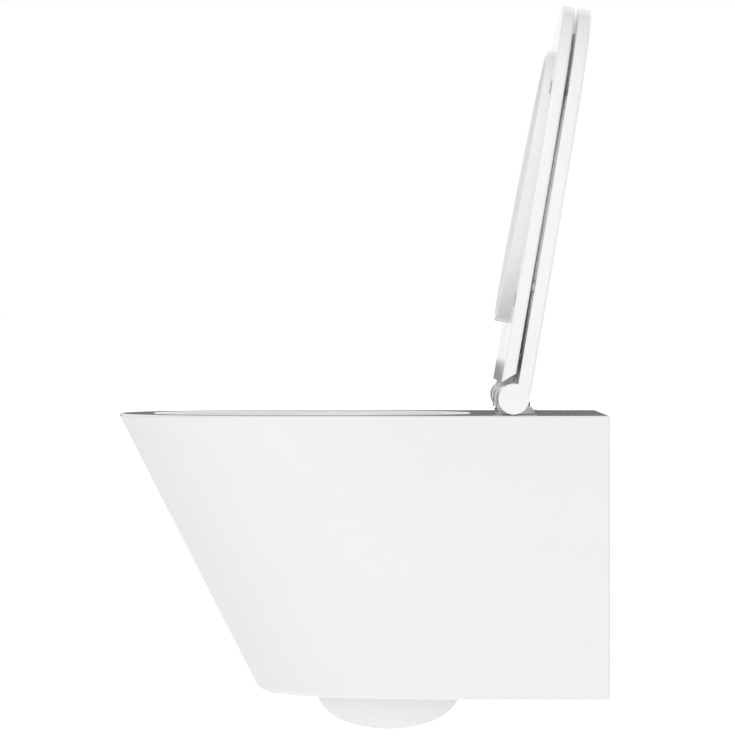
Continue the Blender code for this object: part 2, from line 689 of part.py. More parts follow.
def hinge_block(name, side, damped):
    """Housing with a damper pocket at one end, a plain bore at the other and a slot for the latch."""
    y, z = HINGE_AXIS[1], HINGE_AXIS[2]
    foot = RIM_HEIGHT + DISC_HEIGHT + 2 * GAP - z
    outline = arc(BLOCK_RADIUS, 0, 180, 12) + [(-BLOCK_RADIUS, foot), (BLOCK_RADIUS, foot)]
    outline = [(py + y, pz + z) for py, pz in outline]
    shell = bar(outline, *sorted((side * BLOCK_IN, side * BLOCK_OUT)))
    block = piece(f"hinge_block_{name}", shell, "duroplast")
    for end in ("lid", "seat"):
        radius = DAMPER_RADIUS if end == damped else SHAFT_RADIUS
        cut(block, rod(radius + GAP, *x_span(side, end, 0, POCKET + PAST), "X", (0, y, z), 16))
    x = side * FIXING_CENTRES / 2
    back = -FIXING_SETBACK
    post = (x, back, RIM_HEIGHT)
    low, high = RIM_HEIGHT + GROOVE[0], RIM_HEIGHT + GROOVE[1]
    channel = POST_RADIUS + GAP + LATCH_ARM + 2 * GAP
    front = LATCH_FRONT + BUTTON_TRAVEL + GAP
    well_radius = SPRING_RADIUS + SPRING_WIRE + 2 * GAP
    well = rod(well_radius, -SPRING_SEAT - GAP, -POST_RADIUS, "Y", (x, back, (low + high) / 2), 12)
    cut(
        block,
        rod(POST_RADIUS + 2 * GAP, 0, POST_HEIGHT + 2 * GAP, "Z", post, 16),
        rod(SHOULDER[0] + 2 * GAP, 0, DISC_HEIGHT + SHOULDER[1] + 3 * GAP, "Z", post, 16),
        box((x - channel, back - front, low), (x + channel, back + FAR_PAST, high)),
        well,
    )
    smooth(block)


def release_latch(name, side):
    """Push button with the fork that grips the post's groove, and the spring in front of it."""
    x, y = side * FIXING_CENTRES / 2, -FIXING_SETBACK
    low, high = GROOVE[0] + 2 * GAP, GROOVE[1] - 2 * GAP
    half = POST_RADIUS + GAP + LATCH_ARM
    head = BLOCK_RADIUS - POST_OFFSET + BUTTON_TRAVEL + GAP
    axis = bpy.data.objects.new(f"button_axis_{name}", None)
    bpy.context.scene.collection.objects.link(axis)
    axis.location = (x, y, RIM_HEIGHT)
    fork = box((-half, -LATCH_FRONT, low), (half, head + BUTTON[1] / 2, high))
    latch = piece(f"release_button_{name}", fork, "grey_plastic", axis)
    middle = (low + high) / 2
    wide, thick, tall = BUTTON
    cap = box((-wide / 2, head, middle - tall / 2), (wide / 2, head + thick, middle + tall / 2))
    bmesh.ops.bevel(cap, geom=cap.edges[:], offset=BUTTON_EDGE, segments=2, profile=0.5, affect="EDGES")
    join(latch, cap)
    eye = POST_RADIUS + GAP
    grip = GROOVE_RADIUS + GAP
    cut(latch, box((-eye, -grip, low - PAST), (eye, POST_RADIUS + BUTTON_TRAVEL + GAP, high + PAST)))
    smooth(latch)

    start, stop = -SPRING_SEAT, -LATCH_FRONT - GAP - SPRING_WIRE
    count = SPRING_TURNS * COIL_POINTS
    points = []
    for i in range(count + 1):
        turn = math.tau * SPRING_TURNS * i / count
        points.append((
            x + SPRING_RADIUS * math.cos(turn),
            y + mix(start + SPRING_WIRE, stop, i / count),
            RIM_HEIGHT + middle + SPRING_RADIUS * math.sin(turn),
        ))
    coil = tube(points, [SPRING_WIRE] * len(points), bezier=False, sides=4)
    smooth(piece(f"button_spring_{name}", coil, "stainless"), 60)


def damper(name, side, end):
    """Cup and cap of a rotary damper, set in a block's pocket."""
    at = (0, HINGE_AXIS[1], HINGE_AXIS[2])
    depth = POCKET - CAP_THICK - 3 * GAP
    inside = DAMPER_RADIUS - DAMPER_WALL
    outside = rod(DAMPER_RADIUS, *x_span(side, end, GAP, depth), "X", at)
    cup = piece(f"{name}_damper_body", outside, "grey_plastic")
    cut(cup, rod(inside, *x_span(side, end, GAP + DAMPER_WALL, depth + PAST), "X", at))
    smooth(cup)
    plug = rod(DAMPER_RADIUS, *x_span(side, end, depth + GAP, POCKET - GAP), "X", at)
    cap = piece(f"{name}_damper_cap", plug, "grey_plastic")
    cut(cap, rod(SHAFT_RADIUS + GAP, *x_span(side, end, 0, POCKET + PAST), "X", at))
    smooth(cap)


def double_d(grow):
    """Side outline of a shaft with two flats."""
    radius, flat = SHAFT_RADIUS + grow, SHAFT_FLAT + grow
    reach = math.degrees(math.asin(flat / radius))
    return arc(radius, -reach, reach, 5) + arc(radius, 180 - reach, 180 + reach, 5)


def shaft(name, side, end, damped, parent):
    """Round in the block, two flats in the lid or the seat, and a vane where it turns in a damper."""
    start = GAP + DAMPER_WALL + GAP if damped else 2 * GAP
    grip = POCKET + SIDE_GAP / 2
    bar_x = x_span(side, end, grip, SHAFT_END - GAP)
    turning = piece(name, bar(double_d(0), *bar_x), "stainless", parent)
    join(turning, rod(SHAFT_RADIUS, *x_span(side, end, start, grip + GAP / 2), "X"))
    if damped:
        vane_x = x_span(side, end, start, POCKET - CAP_THICK - 5 * GAP)
        inside = DAMPER_RADIUS - DAMPER_WALL - 2 * GAP
        join(turning, box((vane_x[0], -inside, -VANE / 2), (vane_x[1], inside, VANE / 2)))
    smooth(turning)


# Seat and lid, closed, about the hinge axis


def plate_outline(inset, back):
    return d_outline(PAN_WIDTH / 2 - inset, SEAT_REACH - inset, PAN_NOSE + SEAT_OVERHANG - inset, 2.25, back)


def grip_bore(side, end):
    """The two-flat bore that a shaft's outer end sits in."""
    return bar(double_d(GAP), *x_span(side, end, POCKET + GAP, SHAFT_END))


def seat_opening(grow, low, high):
    front = SEAT_REACH - SEAT_FRONT + grow
    return prism(egg(front, SEAT_BACK - grow, PAN_WIDTH / 2 - SEAT_SIDE + grow, 2.3), low, high)


def seat_lip(parent):
    """Liner of the opening, drawn down past the seat's underside, its foot sloping from front to back."""
    liner = seat_opening(LIP_WALL, SEAT_BOTTOM - LIP_BACK, SEAT_TOP)
    front, back = SEAT_REACH - SEAT_FRONT + LIP_WALL, SEAT_BACK - LIP_WALL
    slope = (LIP_BACK - LIP_FRONT) / (front - back)
    for vert in liner.verts:
        if vert.co.z < SEAT_BOTTOM:
            vert.co.z = SEAT_BOTTOM - LIP_BACK + slope * (-vert.co.y - back)
    lip = piece("seat_lip", liner, "duroplast", parent)
    cut(lip, seat_opening(0, SEAT_BOTTOM - LIP_BACK - FAR_PAST, FAR_PAST))
    smooth(lip)


def pad_places(pads, rear):
    """Buffer name, x and y for the four corners."""
    front = SEAT_REACH - FRONT_PAD_TO_TIP
    for row, reach in (("front", front), ("rear", rear)):
        for name, side in SIDES.items():
            yield f"{row}_{name}", side * (PAN_WIDTH / 2 - pads[row]), -reach


def buffers(name, holder, pads, rear, radius, under, gap, parent):
    """Four pads under a plate, each with a stem in a blind hole."""
    stem, depth = BUFFER_STEM
    for corner, x, y in pad_places(pads, rear):
        cut(holder, rod(stem + GAP, under - PAST, under + depth + GAP, "Z", (x, y, 0), 12))
        profile = [
            (0, under - gap + GAP),
            (radius - PAD_EDGE, under - gap + GAP),
            (radius, under - gap / 2),
            (radius, under - GAP),
            (stem, under - GAP),
            (stem, under + depth),
            (0, under + depth),
        ]
        smooth(piece(f"{name}_{corner}", turned(profile, "Z", (x, y, 0), 16), "clear_rubber", parent))


def seat(parent):
    """Ring with its back edge bevelled clear of the lid's roll, and two hinge lugs."""
    plate = prism(plate_outline(0, SEAT_START), SEAT_BOTTOM, SEAT_TOP)
    soften(plate, SEAT_TOP, TOP_EDGE, 2, -SEAT_START)
    soften(plate, SEAT_BOTTOM, SEAT_FOOT_EDGE, 2, -SEAT_START)
    ring = piece("seat_ring", plate, "duroplast", parent)
    half = PAN_WIDTH / 2 + PAST
    high = SEAT_START + SEAT_BEVEL * (1 + PAST / SEAT_THICK)
    low = SEAT_START - SEAT_BEVEL * PAST / SEAT_THICK
    over, under = SEAT_TOP + PAST, SEAT_BOTTOM - PAST
    cut(ring, bar([(-high, over), (-low, under), (0, under), (0, over)], -half, half))
    cut(ring, seat_opening(LIP_WALL + GAP, SEAT_BOTTOM - PAST, PAST))
    for side in SIDES.values():
        lug_x = sorted((side * LUG_IN, side * LUG_OUT))
        low, high = SEAT_BOTTOM + LUG_INSET, SEAT_TOP - LUG_INSET
        join(ring, box((lug_x[0], -SEAT_START - SEAT_BEVEL - LUG_ROOT, low), (lug_x[1], 0, high)))
        join(ring, rod(LUG_RADIUS, *lug_x, "X", (0, 0, 0), 24))
        cut(ring, grip_bore(side, "seat"))
    buffers("seat_buffer", ring, SEAT_PADS, SEAT_REAR_PAD, SEAT_PAD, SEAT_BOTTOM, SEAT_LIFT, parent)
    smooth(ring)


def lid(parent):
    """Slim plate with a recessed underside and a wide roll, notched for the hinge blocks and seat lugs."""
    plate = prism(plate_outline(0, 0), LID_BOTTOM, LID_TOP)
    soften(plate, LID_TOP, TOP_EDGE, 2, 0)
    soften(plate, LID_BOTTOM, LID_FOOT_EDGE, 2, 0)
    cover = piece("lid", plate, "duroplast", parent)
    half = PAN_WIDTH / 2
    join(cover, rod(ROLL_RADIUS, -half, half, "X", (0, 0, 0), 40))
    cut(cover, prism(plate_outline(LID_BORDER, RECESS_BACK), LID_BOTTOM - PAST, LID_BOTTOM + LID_RECESS))
    for side in SIDES.values():
        notch_x = sorted((side * MIDDLE_ROLL, side * OUTER_ROLL))
        tall = ROLL_RADIUS + LID_TOP
        cut(cover, box((notch_x[0], -SWEEP_RADIUS, -tall), (notch_x[1], tall, tall)))
        cut(cover, grip_bore(side, "lid"))
    buffers("lid_buffer", cover, LID_PADS, LID_REAR_PAD, LID_PAD, LID_BOTTOM, PLATE_GAP, parent)
    smooth(cover)


def main():
    clear_scene()
    pan_rim()
    pan_skirt()
    pan_bowl()
    pan_trap()
    flush_inlet()
    connections()
    for name, side in SIDES.items():
        wall_fixing(name, side)
        hinge_base(name, side)
        hinge_block(name, side, "lid" if name == "right" else "seat")
        release_latch(name, side)
    damper("lid", SIDES["right"], "lid")
    damper("seat", SIDES["left"], "seat")

    lid_axis = bpy.data.objects.new("lid_axis", None)
    seat_axis = bpy.data.objects.new("seat_axis", None)
    for axis in (lid_axis, seat_axis):
        bpy.context.scene.collection.objects.link(axis)
    seat_axis.parent = lid_axis
    lid(lid_axis)
    seat(seat_axis)
    seat_lip(seat_axis)
    shaft("lid_rotor", SIDES["right"], "lid", True, lid_axis)
    shaft("lid_pin", SIDES["left"], "lid", False, lid_axis)
    shaft("seat_rotor", SIDES["left"], "seat", True, seat_axis)
    shaft("seat_pin", SIDES["right"], "seat", False, seat_axis)
    lid_axis.location = HINGE_AXIS
    lid_axis.rotation_euler.x = -(math.pi / 2 + LEAN)


main()
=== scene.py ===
import json
import math

import bmesh
import bpy
from mathutils import Matrix, Vector


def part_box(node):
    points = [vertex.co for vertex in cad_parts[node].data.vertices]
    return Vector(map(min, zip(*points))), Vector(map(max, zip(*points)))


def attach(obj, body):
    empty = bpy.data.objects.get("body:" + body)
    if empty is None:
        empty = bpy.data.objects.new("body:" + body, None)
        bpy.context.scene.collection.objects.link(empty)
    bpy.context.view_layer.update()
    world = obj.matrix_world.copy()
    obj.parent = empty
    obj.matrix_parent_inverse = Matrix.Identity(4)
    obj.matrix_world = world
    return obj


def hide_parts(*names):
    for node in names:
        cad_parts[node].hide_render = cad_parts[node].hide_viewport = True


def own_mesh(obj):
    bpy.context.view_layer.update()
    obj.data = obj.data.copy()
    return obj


# Looks of a wall-hung WC pan with a slim soft-close seat and lid, both raised. Metres, +Z up, the wall at
# y = 0 and the pan reaching out along -Y. Each CAD node is replaced by a finer piece in the same place.

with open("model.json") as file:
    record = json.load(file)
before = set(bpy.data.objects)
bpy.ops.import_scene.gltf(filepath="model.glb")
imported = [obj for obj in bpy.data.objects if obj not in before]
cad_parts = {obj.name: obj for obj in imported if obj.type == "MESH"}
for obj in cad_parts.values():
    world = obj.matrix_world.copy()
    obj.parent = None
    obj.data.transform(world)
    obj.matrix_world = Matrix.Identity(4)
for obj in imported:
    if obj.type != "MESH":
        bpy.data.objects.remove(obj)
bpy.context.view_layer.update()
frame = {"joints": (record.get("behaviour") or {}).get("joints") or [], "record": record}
record = frame["record"]
BODY_OF = {node: body for body, nodes in record["behaviour"]["bodies"].items() for node in nodes}
SLOT_OF = {part["node"]: part["material_slot"] for part in record["subparts"]}
JOINTS = {joint["name"]: joint for joint in frame["joints"]}
SIDES = {"right": 1, "left": -1}
GAP = 0.0003  # between two pieces that touch
PAST = 0.01  # how far a cutter runs past what it cuts

CHINA = ("pan_rim", "pan_skirt", "pan_bowl", "pan_trap", "flush_inlet")
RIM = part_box(CHINA[0])[1].z
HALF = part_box(CHINA[0])[1].x
HINGE_AXIS = Vector(JOINTS["lid_hinge"]["pos_m"])
OPEN_ANGLE = math.radians(JOINTS["lid_hinge"]["range_deg"][1])
RAISED = Matrix.Translation(HINGE_AXIS) @ Matrix.Rotation(-OPEN_ANGLE, 4, "X")

# Pan
PAN_LENGTH = 0.533
PAN_DEPTH = 0.304
PAN_NOSE = 0.210
FOOT_LENGTH = 0.378
FOOT_HALF = 0.173
FOOT_NOSE = 0.280
RIM_EDGE = 0.004
FOOT_EDGE = 0.009
BACK_EDGE = 0.0015
WALL = 0.011
DECK = 0.016
REAR_PLATE = 0.018
PLATE_FOOT = RIM - 0.124
REAR_FLANGE = 0.040
REACH_IN = 0.095
BOWL_BACK = 0.149
BOWL_FRONT = 0.491
BOWL_HALF = 0.142
BOWL_DEPTH = 0.262
MOUTH_EDGE = 0.0055
SUMP_RADIUS = 0.034
SUMP_CENTRE = 0.284
TRAP_BORE = 0.027
BEND_CENTRE = 0.236
TRAP_BOTTOM = 0.308
TRAP_DIP = 0.020
LIMB_FOOT = 0.192
LIMB_TOP = 0.154
LIMB_DROP = 0.034
WEIR_CENTRE = 0.114
WEIR_DROP = 0.190
WEIR_WIDER = 0.004
OUTLET_BEND = 0.063
BULGE = (0.052, 0.078, 0.040)
OUTLET = (0, 0, RIM - 0.185)
OUTLET_BORE = 0.0425
SPIGOT_RADIUS = 0.051
SPIGOT_SETBACK = 0.008
INLET = (0, 0, RIM - 0.050)
INLET_BORE = 0.0275
INLET_DEPTH = 0.034
INLET_WALL = 0.009
FLUSH_BORE = 0.020
FLUSH_START = 0.050
FLUSH_SLOT = (0.050, 0.014)
SLOT_EDGE = 0.003
STUD_HOLE = 0.0085
DECK_HOLE = 0.0082

# Connections and wall fixings
PIPE_EDGE = 0.0008
INLET_SEAL_WALL = 0.0028  # flush bore to the seal's bore
INLET_RIBS = 6
OUTLET_RIBS = 5
RIB_DEPTH = 0.0006
SOCKET_WALL = 0.0025
SOCKET_BEAD = 0.003
SOCKET_EDGE = 0.0007
STUD_PITCH = 0.00175  # M12
STUD_THREAD = 0.0009
SLEEVE_WALL = 0.0019
SLEEVE_FLANGE = 0.002
SLEEVE_EDGE = 0.0005
WASHER_EDGE = 0.0005
NUT_CHAMFER = 0.1  # of the nut's radius

# Seat and lid, closed, about the hinge axis
SEAT_REACH = 0.434
SEAT_TOP = -0.002
SEAT_BOTTOM = -0.016
LID_BOTTOM = 0.002
ROLL_RADIUS = 0.0165
SWEEP_RADIUS = 0.021
TOP_EDGE = 0.004
SEAT_FOOT_EDGE = 0.003
LID_FOOT_EDGE = 0.002
PLATE_NOSE = 0.214
SEAT_FRONT = 0.376
SEAT_BACK = 0.086
OPENING_HALF = 0.115
OPENING_EDGE = 0.005
LIP_WALL = 0.006
LIP_FRONT = 0.0076
LIP_BACK = 0.0145
LIP_EDGE = 0.002
LID_BORDER = 0.028
LID_RECESS = 0.006
RECESS_BACK = 0.046
RECESS_EDGE = 0.0035
PAD_STEM = (0.003, 0.005)  # radius and length
PAD_TO_TIP = 0.097
SEAT_PADS = {"gap": 0.002, "radius": 0.008, "front": 0.130, "rear": 0.150, "reach": 0.105}
LID_PADS = {"gap": 0.004, "radius": 0.007, "front": 0.130, "rear": 0.166, "reach": 0.122}

# Hinge sets
POST_X = 0.0775
POST_Y = -0.096
BLOCK_IN = 0.051
BLOCK_OUT = 0.104
BLOCK_RADIUS = 0.0155
BLOCK_EDGE = 0.001
SIDE_GAP = 0.0008
LUG_OUT = BLOCK_IN - SIDE_GAP
LUG_IN = LUG_OUT - 0.020
LUG_EDGE = 0.0006
LUG_RADIUS = 0.012
LUG_ROOT = 0.006
LUG_INSET = 0.001
SEAT_START = 0.0155
SEAT_BEVEL = 0.012
OUTER_ROLL = BLOCK_OUT + SIDE_GAP
MIDDLE_ROLL = LUG_IN - SIDE_GAP
SHAFT_RADIUS = 0.0045
SHAFT_FLAT = 0.0032
SHAFT_GRIP = 0.018
POCKET = 0.0175
SHAFT_END = POCKET + SIDE_GAP + SHAFT_GRIP
DAMPER_RADIUS = 0.0094
DAMPER_WALL = 0.0016
CAP_THICK = 0.0026
DAMPER_EDGE = 0.0004
VANE = 0.0024
DISC_EDGES = (0.0004, 0.0016)  # at its foot and its top
POST_RADIUS = 0.005
POST_FOOT = 0.0063  # above the rim, as are the groove's two ends
GROOVE = (0.0094, 0.0130)
GROOVE_RADIUS = 0.0036
POST_TIP = 0.001
POST_EDGE = 0.0003
POST_HOLE = 0.0152
SHOULDER = (0.0065, 0.0016)  # radius and height
SHOULDER_HOLE = (0.0071, 0.0085)
SHANK_RADIUS = 0.004
SHANK_BORE = 0.0043  # through what is clamped on the shank
BUSH_RADIUS = 0.0062
BUSH_OFFSET = 0.0015
BUSH_FLANGE = (0.012, 0.003)
BUSH_EDGES = (0.0004, 0.0006)
BUSH_FOOT = 0.0015  # where the bush's neck starts inside its flange
RUBBER_EDGE = 0.0012
SEAT_WASHER_EDGE = 0.0003
NUT_RADIUS = 0.008
NUT_EDGE = 0.0012
WING = (0.003, 0.001, 0.010)  # thickness, foot and top
LATCH_GRIP = 0.0039
BUTTON_EDGE = 0.0007
LATCH_ARM = 0.0019
LATCH_FRONT = 0.0085
TRAVEL = JOINTS["button_right"]["range_m"][1]
BUTTON = (0.0144, 0.0022, 0.0054)
SPRING_RADIUS = 0.0020
SPRING_WIRE = 0.0003
SPRING_SEAT = 0.0134
SPRING_TURNS = 4

# Room
RIM_ABOVE_FLOOR = 0.400
CARD_FAR = 1.0
CARD_REACH = 2.5
CARD_FOOT = 0.045  # below the rim
CARD_SPLIT = 0.06  # where the black card ends and the white one starts, above the rim
CARD_TOP = 1.2
CAMERA_PLACE = (5.62, -0.259, RIM + 0.103)
CAMERA_DIP = 0.54  # degrees below level

AXES = {
    "X": Matrix.Rotation(math.radians(90), 4, "Y"),
    "Y": Matrix.Rotation(math.radians(-90), 4, "X"),
    "Z": Matrix.Identity(4),
}


# Colours and finishes


def linear(code):
    """A linear colour from an sRGB hex code."""
    parts = [int(code[i : i + 2], 16) / 255 for i in (1, 3, 5)]
    return (*[p / 12.92 if p <= 0.04045 else ((p + 0.055) / 1.055) ** 2.4 for p in parts], 1)


def add(tree, kind, settings=None, inputs=None):
    """Adds a node with its settings. An input that is given a socket is linked to it."""
    made = tree.nodes.new("ShaderNode" + kind)
    for name, value in (settings or {}).items():
        setattr(made, name, value)
    for name, value in (inputs or {}).items():
        if isinstance(value, bpy.types.NodeSocket):
            tree.links.new(value, made.inputs[name])
        else:
            made.inputs[name].default_value = value
    return made


def per_metre(mm):
    """A texture scale that gives features of about that many millimetres."""
    return 1000 / mm


def new_finish(name, sockets):
    """A material with its Principled values set, and the place that its patterns read."""
    made = bpy.data.materials.new(name)
    made.use_nodes = True
    tree = made.node_tree
    shader = tree.nodes["Principled BSDF"]
    for socket, value in sockets.items():
        shader.inputs[socket].default_value = value
    return made, tree, shader, add(tree, "TexCoord").outputs["Object"]


def mottled(tree, place, mm, low, high, detail=2.0):
    """A soft noise between two numbers."""
    noise = add(tree, "TexNoise", None, {"Vector": place, "Scale": per_metre(mm), "Detail": detail})
    return add(tree, "MapRange", None, {
        "Value": noise.outputs["Fac"], "From Min": 0.3, "From Max": 0.7, "To Min": low, "To Max": high,
    }).outputs["Result"]


def tinted(tree, share, first, second):
    mixed = add(tree, "Mix", {"data_type": "RGBA"}, {0: share, 6: linear(first), 7: linear(second)})
    return mixed.outputs[2]


def bumped(tree, shader, height, depth_mm, strength=1.0):
    bump = add(tree, "Bump", None, {"Strength": strength, "Distance": depth_mm / 1000, "Height": height})
    tree.links.new(bump.outputs["Normal"], shader.inputs["Normal"])


def glazed_vitreous_china():
    """Slip-cast, glazed and fired: a deep wet gloss over a faintly wavy skin, bare and matt on the back."""
    made, tree, shader, place = new_finish("glazed_vitreous_china", {
        "IOR": 1.52, "Coat Weight": 0.35, "Coat Roughness": 0.03, "Coat IOR": 1.5,
    })
    apart = add(tree, "SeparateXYZ", None, {"Vector": place})
    bare = add(tree, "MapRange", {"interpolation_type": "SMOOTHSTEP"}, {
        "Value": apart.outputs["Y"], "From Min": -0.0012, "From Max": -0.0004, "To Min": 0.0, "To Max": 1.0,
    }).outputs["Result"]
    glaze = tinted(tree, mottled(tree, place, 160, 0, 1), "#F4F4F3", "#F1F2F2")
    bisque = tinted(tree, mottled(tree, place, 14, 0, 1, 5), "#E9E5DC", "#DED9CE")
    colour = add(tree, "Mix", {"data_type": "RGBA"}, {0: bare, 6: glaze, 7: bisque})
    tree.links.new(colour.outputs[2], shader.inputs["Base Color"])
    wet = mottled(tree, place, 45, 0.05, 0.085)
    rough = add(tree, "Mix", {"data_type": "FLOAT"}, {0: bare, 2: wet, 3: 0.75})
    tree.links.new(rough.outputs[0], shader.inputs["Roughness"])
    # the glaze's orange peel is about 5 mm from crest to crest and a few microns deep
    bumped(tree, shader, mottled(tree, place, 5, 0, 1), 0.012, 0.5)
    return made


def moulded_duroplast():
    """Pressed urea resin, polished in its mould: whiter than china, a tight gloss with a soft edge to it."""
    made, tree, shader, place = new_finish("moulded_duroplast", {
        "IOR": 1.5, "Specular IOR Level": 0.5, "Coat Weight": 0.04, "Coat Roughness": 0.06,
    })
    colour = tinted(tree, mottled(tree, place, 90, 0, 1), "#F9F9F8", "#F7F7F7")
    tree.links.new(colour, shader.inputs["Base Color"])
    tree.links.new(mottled(tree, place, 30, 0.12, 0.16), shader.inputs["Roughness"])
    bumped(tree, shader, mottled(tree, place, 1.6, 0, 1), 0.004, 0.4)
    return made


def polished_stainless():
    """Turned and polished: the lathe's rings just show round each post, drawn 0.5 mm apart."""
    made, tree, shader, place = new_finish("polished_stainless", {
        "Metallic": 1.0, "Base Color": linear("#C9CACB"),
    })
    both = add(tree, "VectorMath", {"operation": "ABSOLUTE"}, {0: place})
    middle = add(tree, "Mapping", None, {
        "Vector": both.outputs[0], "Location": (-POST_X, POST_Y, 0), "Scale": (1, 1, 0),
    })
    away = add(tree, "VectorMath", {"operation": "LENGTH"}, {0: middle.outputs["Vector"]})
    turns = add(tree, "Math", {"operation": "MULTIPLY"}, {
        0: away.outputs["Value"], 1: math.tau * per_metre(0.5),
    })
    rings = add(tree, "Math", {"operation": "SINE"}, {0: turns.outputs[0]})
    tree.links.new(mottled(tree, place, 6, 0.10, 0.2), shader.inputs["Roughness"])
    bumped(tree, shader, rings.outputs[0], 0.003, 0.25)
    return made


def zinc_plated_steel():
    """Rolled steel with a passivated zinc coat: bluish, with paler and yellower clouds."""
    made, tree, shader, place = new_finish("zinc_plated_steel", {"Metallic": 1.0})
    colour = tinted(tree, mottled(tree, place, 7, 0, 1, 4), "#B9BEC6", "#C9C6B8")
    tree.links.new(colour, shader.inputs["Base Color"])
    tree.links.new(mottled(tree, place, 3, 0.28, 0.45, 4), shader.inputs["Roughness"])
    bumped(tree, shader, mottled(tree, place, 0.8, 0, 1), 0.01, 0.4)
    return made


def moulded_polypropylene():
    """Injection moulded: milky white, waxy, with light just under its skin."""
    made, tree, shader, place = new_finish("moulded_polypropylene", {
        "Subsurface Weight": 0.15, "Subsurface Radius": (1, 1, 1), "Subsurface Scale": 0.001,
    })
    colour = tinted(tree, mottled(tree, place, 25, 0, 1), "#EAEAE7", "#E3E4E2")
    tree.links.new(colour, shader.inputs["Base Color"])
    tree.links.new(mottled(tree, place, 9, 0.34, 0.46), shader.inputs["Roughness"])
    bumped(tree, shader, mottled(tree, place, 0.6, 0, 1), 0.01, 0.3)
    return made


def moulded_acetal():
    """Injection moulded in grey: slippery and even, a soft sheen over a spark-eroded grain."""
    made, tree, shader, place = new_finish("moulded_acetal", {"IOR": 1.48})
    colour = tinted(tree, mottled(tree, place, 12, 0, 1), "#A3A7AA", "#989CA0")
    tree.links.new(colour, shader.inputs["Base Color"])
    tree.links.new(mottled(tree, place, 5, 0.38, 0.5), shader.inputs["Roughness"])
    bumped(tree, shader, mottled(tree, place, 0.5, 0, 1, 4), 0.015, 0.4)
    return made


def moulded_elastomer():
    """Translucent thermoplastic rubber: cloudy grey-white, dull where it has been pressed on the china."""
    made, tree, shader, place = new_finish("moulded_elastomer", {
        "Subsurface Weight": 0.4, "Subsurface Radius": (1, 1, 1), "Subsurface Scale": 0.002,
    })
    colour = tinted(tree, mottled(tree, place, 4, 0, 1), "#D9DAD8", "#CDCFCE")
    tree.links.new(colour, shader.inputs["Base Color"])
    tree.links.new(mottled(tree, place, 3, 0.35, 0.55), shader.inputs["Roughness"])
    bumped(tree, shader, mottled(tree, place, 0.7, 0, 1), 0.01, 0.4)
    return made


def moulded_black_rubber():
    """Vulcanised rubber: nearly black, matt, with a dusty grain."""
    made, tree, shader, place = new_finish("moulded_black_rubber", {})
    colour = tinted(tree, mottled(tree, place, 6, 0, 1, 5), "#1D1D1E", "#2A2A2A")
    tree.links.new(colour, shader.inputs["Base Color"])
    tree.links.new(mottled(tree, place, 3, 0.6, 0.85, 5), shader.inputs["Roughness"])
    bumped(tree, shader, mottled(tree, place, 0.5, 0, 1, 5), 0.03, 0.6)
    return made


FINISHES = {
    "glazed_china": glazed_vitreous_china(),
    "duroplast": moulded_duroplast(),
    "stainless": polished_stainless(),
    "zinc_steel": zinc_plated_steel(),
    "white_plastic": moulded_polypropylene(),
    "grey_plastic": moulded_acetal(),
    "clear_rubber": moulded_elastomer(),
    "black_rubber": moulded_black_rubber(),
}


# Making and fitting pieces


def solid(name, bm):
    mesh = bpy.data.meshes.new(name)
    bm.to_mesh(mesh)
    bm.free()
    made = bpy.data.objects.new(name, mesh)
    bpy.context.scene.collection.objects.link(made)
    return made


def combine(target, other, operation):
    """Joins, cuts or trims the target by a second shape, which is used up."""
    tool = solid("tool", other)
    modifier = target.modifiers.new("combine", "BOOLEAN")
    modifier.operation = operation
    modifier.solver = "EXACT"
    modifier.object = tool
    bpy.context.view_layer.update()
    mesh = bpy.data.meshes.new_from_object(target.evaluated_get(bpy.context.evaluated_depsgraph_get()))
    target.modifiers.clear()
    old = target.data
    target.data = mesh
    bpy.data.meshes.remove(old)
    bpy.data.objects.remove(tool)


def join(target, *others):
    for other in others:
        combine(target, other, "UNION")


def cut(target, *others):
    for other in others:
        combine(target, other, "DIFFERENCE")


def fit(target, node, place=None, degrees=38, others=()):
    """Gives a finished piece its place, finish, smooth skin and body, and puts it in its CAD node's stead."""
    if place:
        target.data.transform(place)
    target.data.materials.clear()
    target.data.materials.append(FINISHES[SLOT_OF[node]])
    target.data.shade_smooth()
    target.data.set_sharp_from_angle(angle=math.radians(degrees))
    even = target.modifiers.new("even_shading", "WEIGHTED_NORMAL")
    even.keep_sharp = True
    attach(target, BODY_OF[node])
    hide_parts(node, *others)
    return target


# Plain shapes


def block(low, high, edge=0.0, segments=3):
    bm = bmesh.new()
    bmesh.ops.create_cube(bm, size=1)
    bmesh.ops.scale(bm, vec=[b - a for a, b in zip(low, high)], verts=bm.verts)
    bmesh.ops.translate(bm, vec=[(a + b) / 2 for a, b in zip(low, high)], verts=bm.verts)
    if edge:
        bmesh.ops.bevel(
            bm, geom=bm.edges[:], offset=edge, segments=segments, profile=0.5, material=-1, affect="EDGES"
        )
    return bm


def softened(profile, radius, steps=4, whole=False):
    """A profile with its corners rounded. A whole one is closed; otherwise its two ends stay."""
    count = len(profile)
    made = []
    for i, corner in enumerate(profile):
        if not whole and i in (0, count - 1):
            made.append(corner)
            continue
        here = Vector(corner)
        before, after = Vector(profile[i - 1]) - here, Vector(profile[(i + 1) % count]) - here
        reach = min(radius, 0.45 * before.length, 0.45 * after.length)
        start, stop = before.normalized() * reach, after.normalized() * reach
        for step in range(steps + 1):
            t = step / steps
            made.append(tuple(here + start * (1 - t) ** 2 + stop * t**2))
    return made


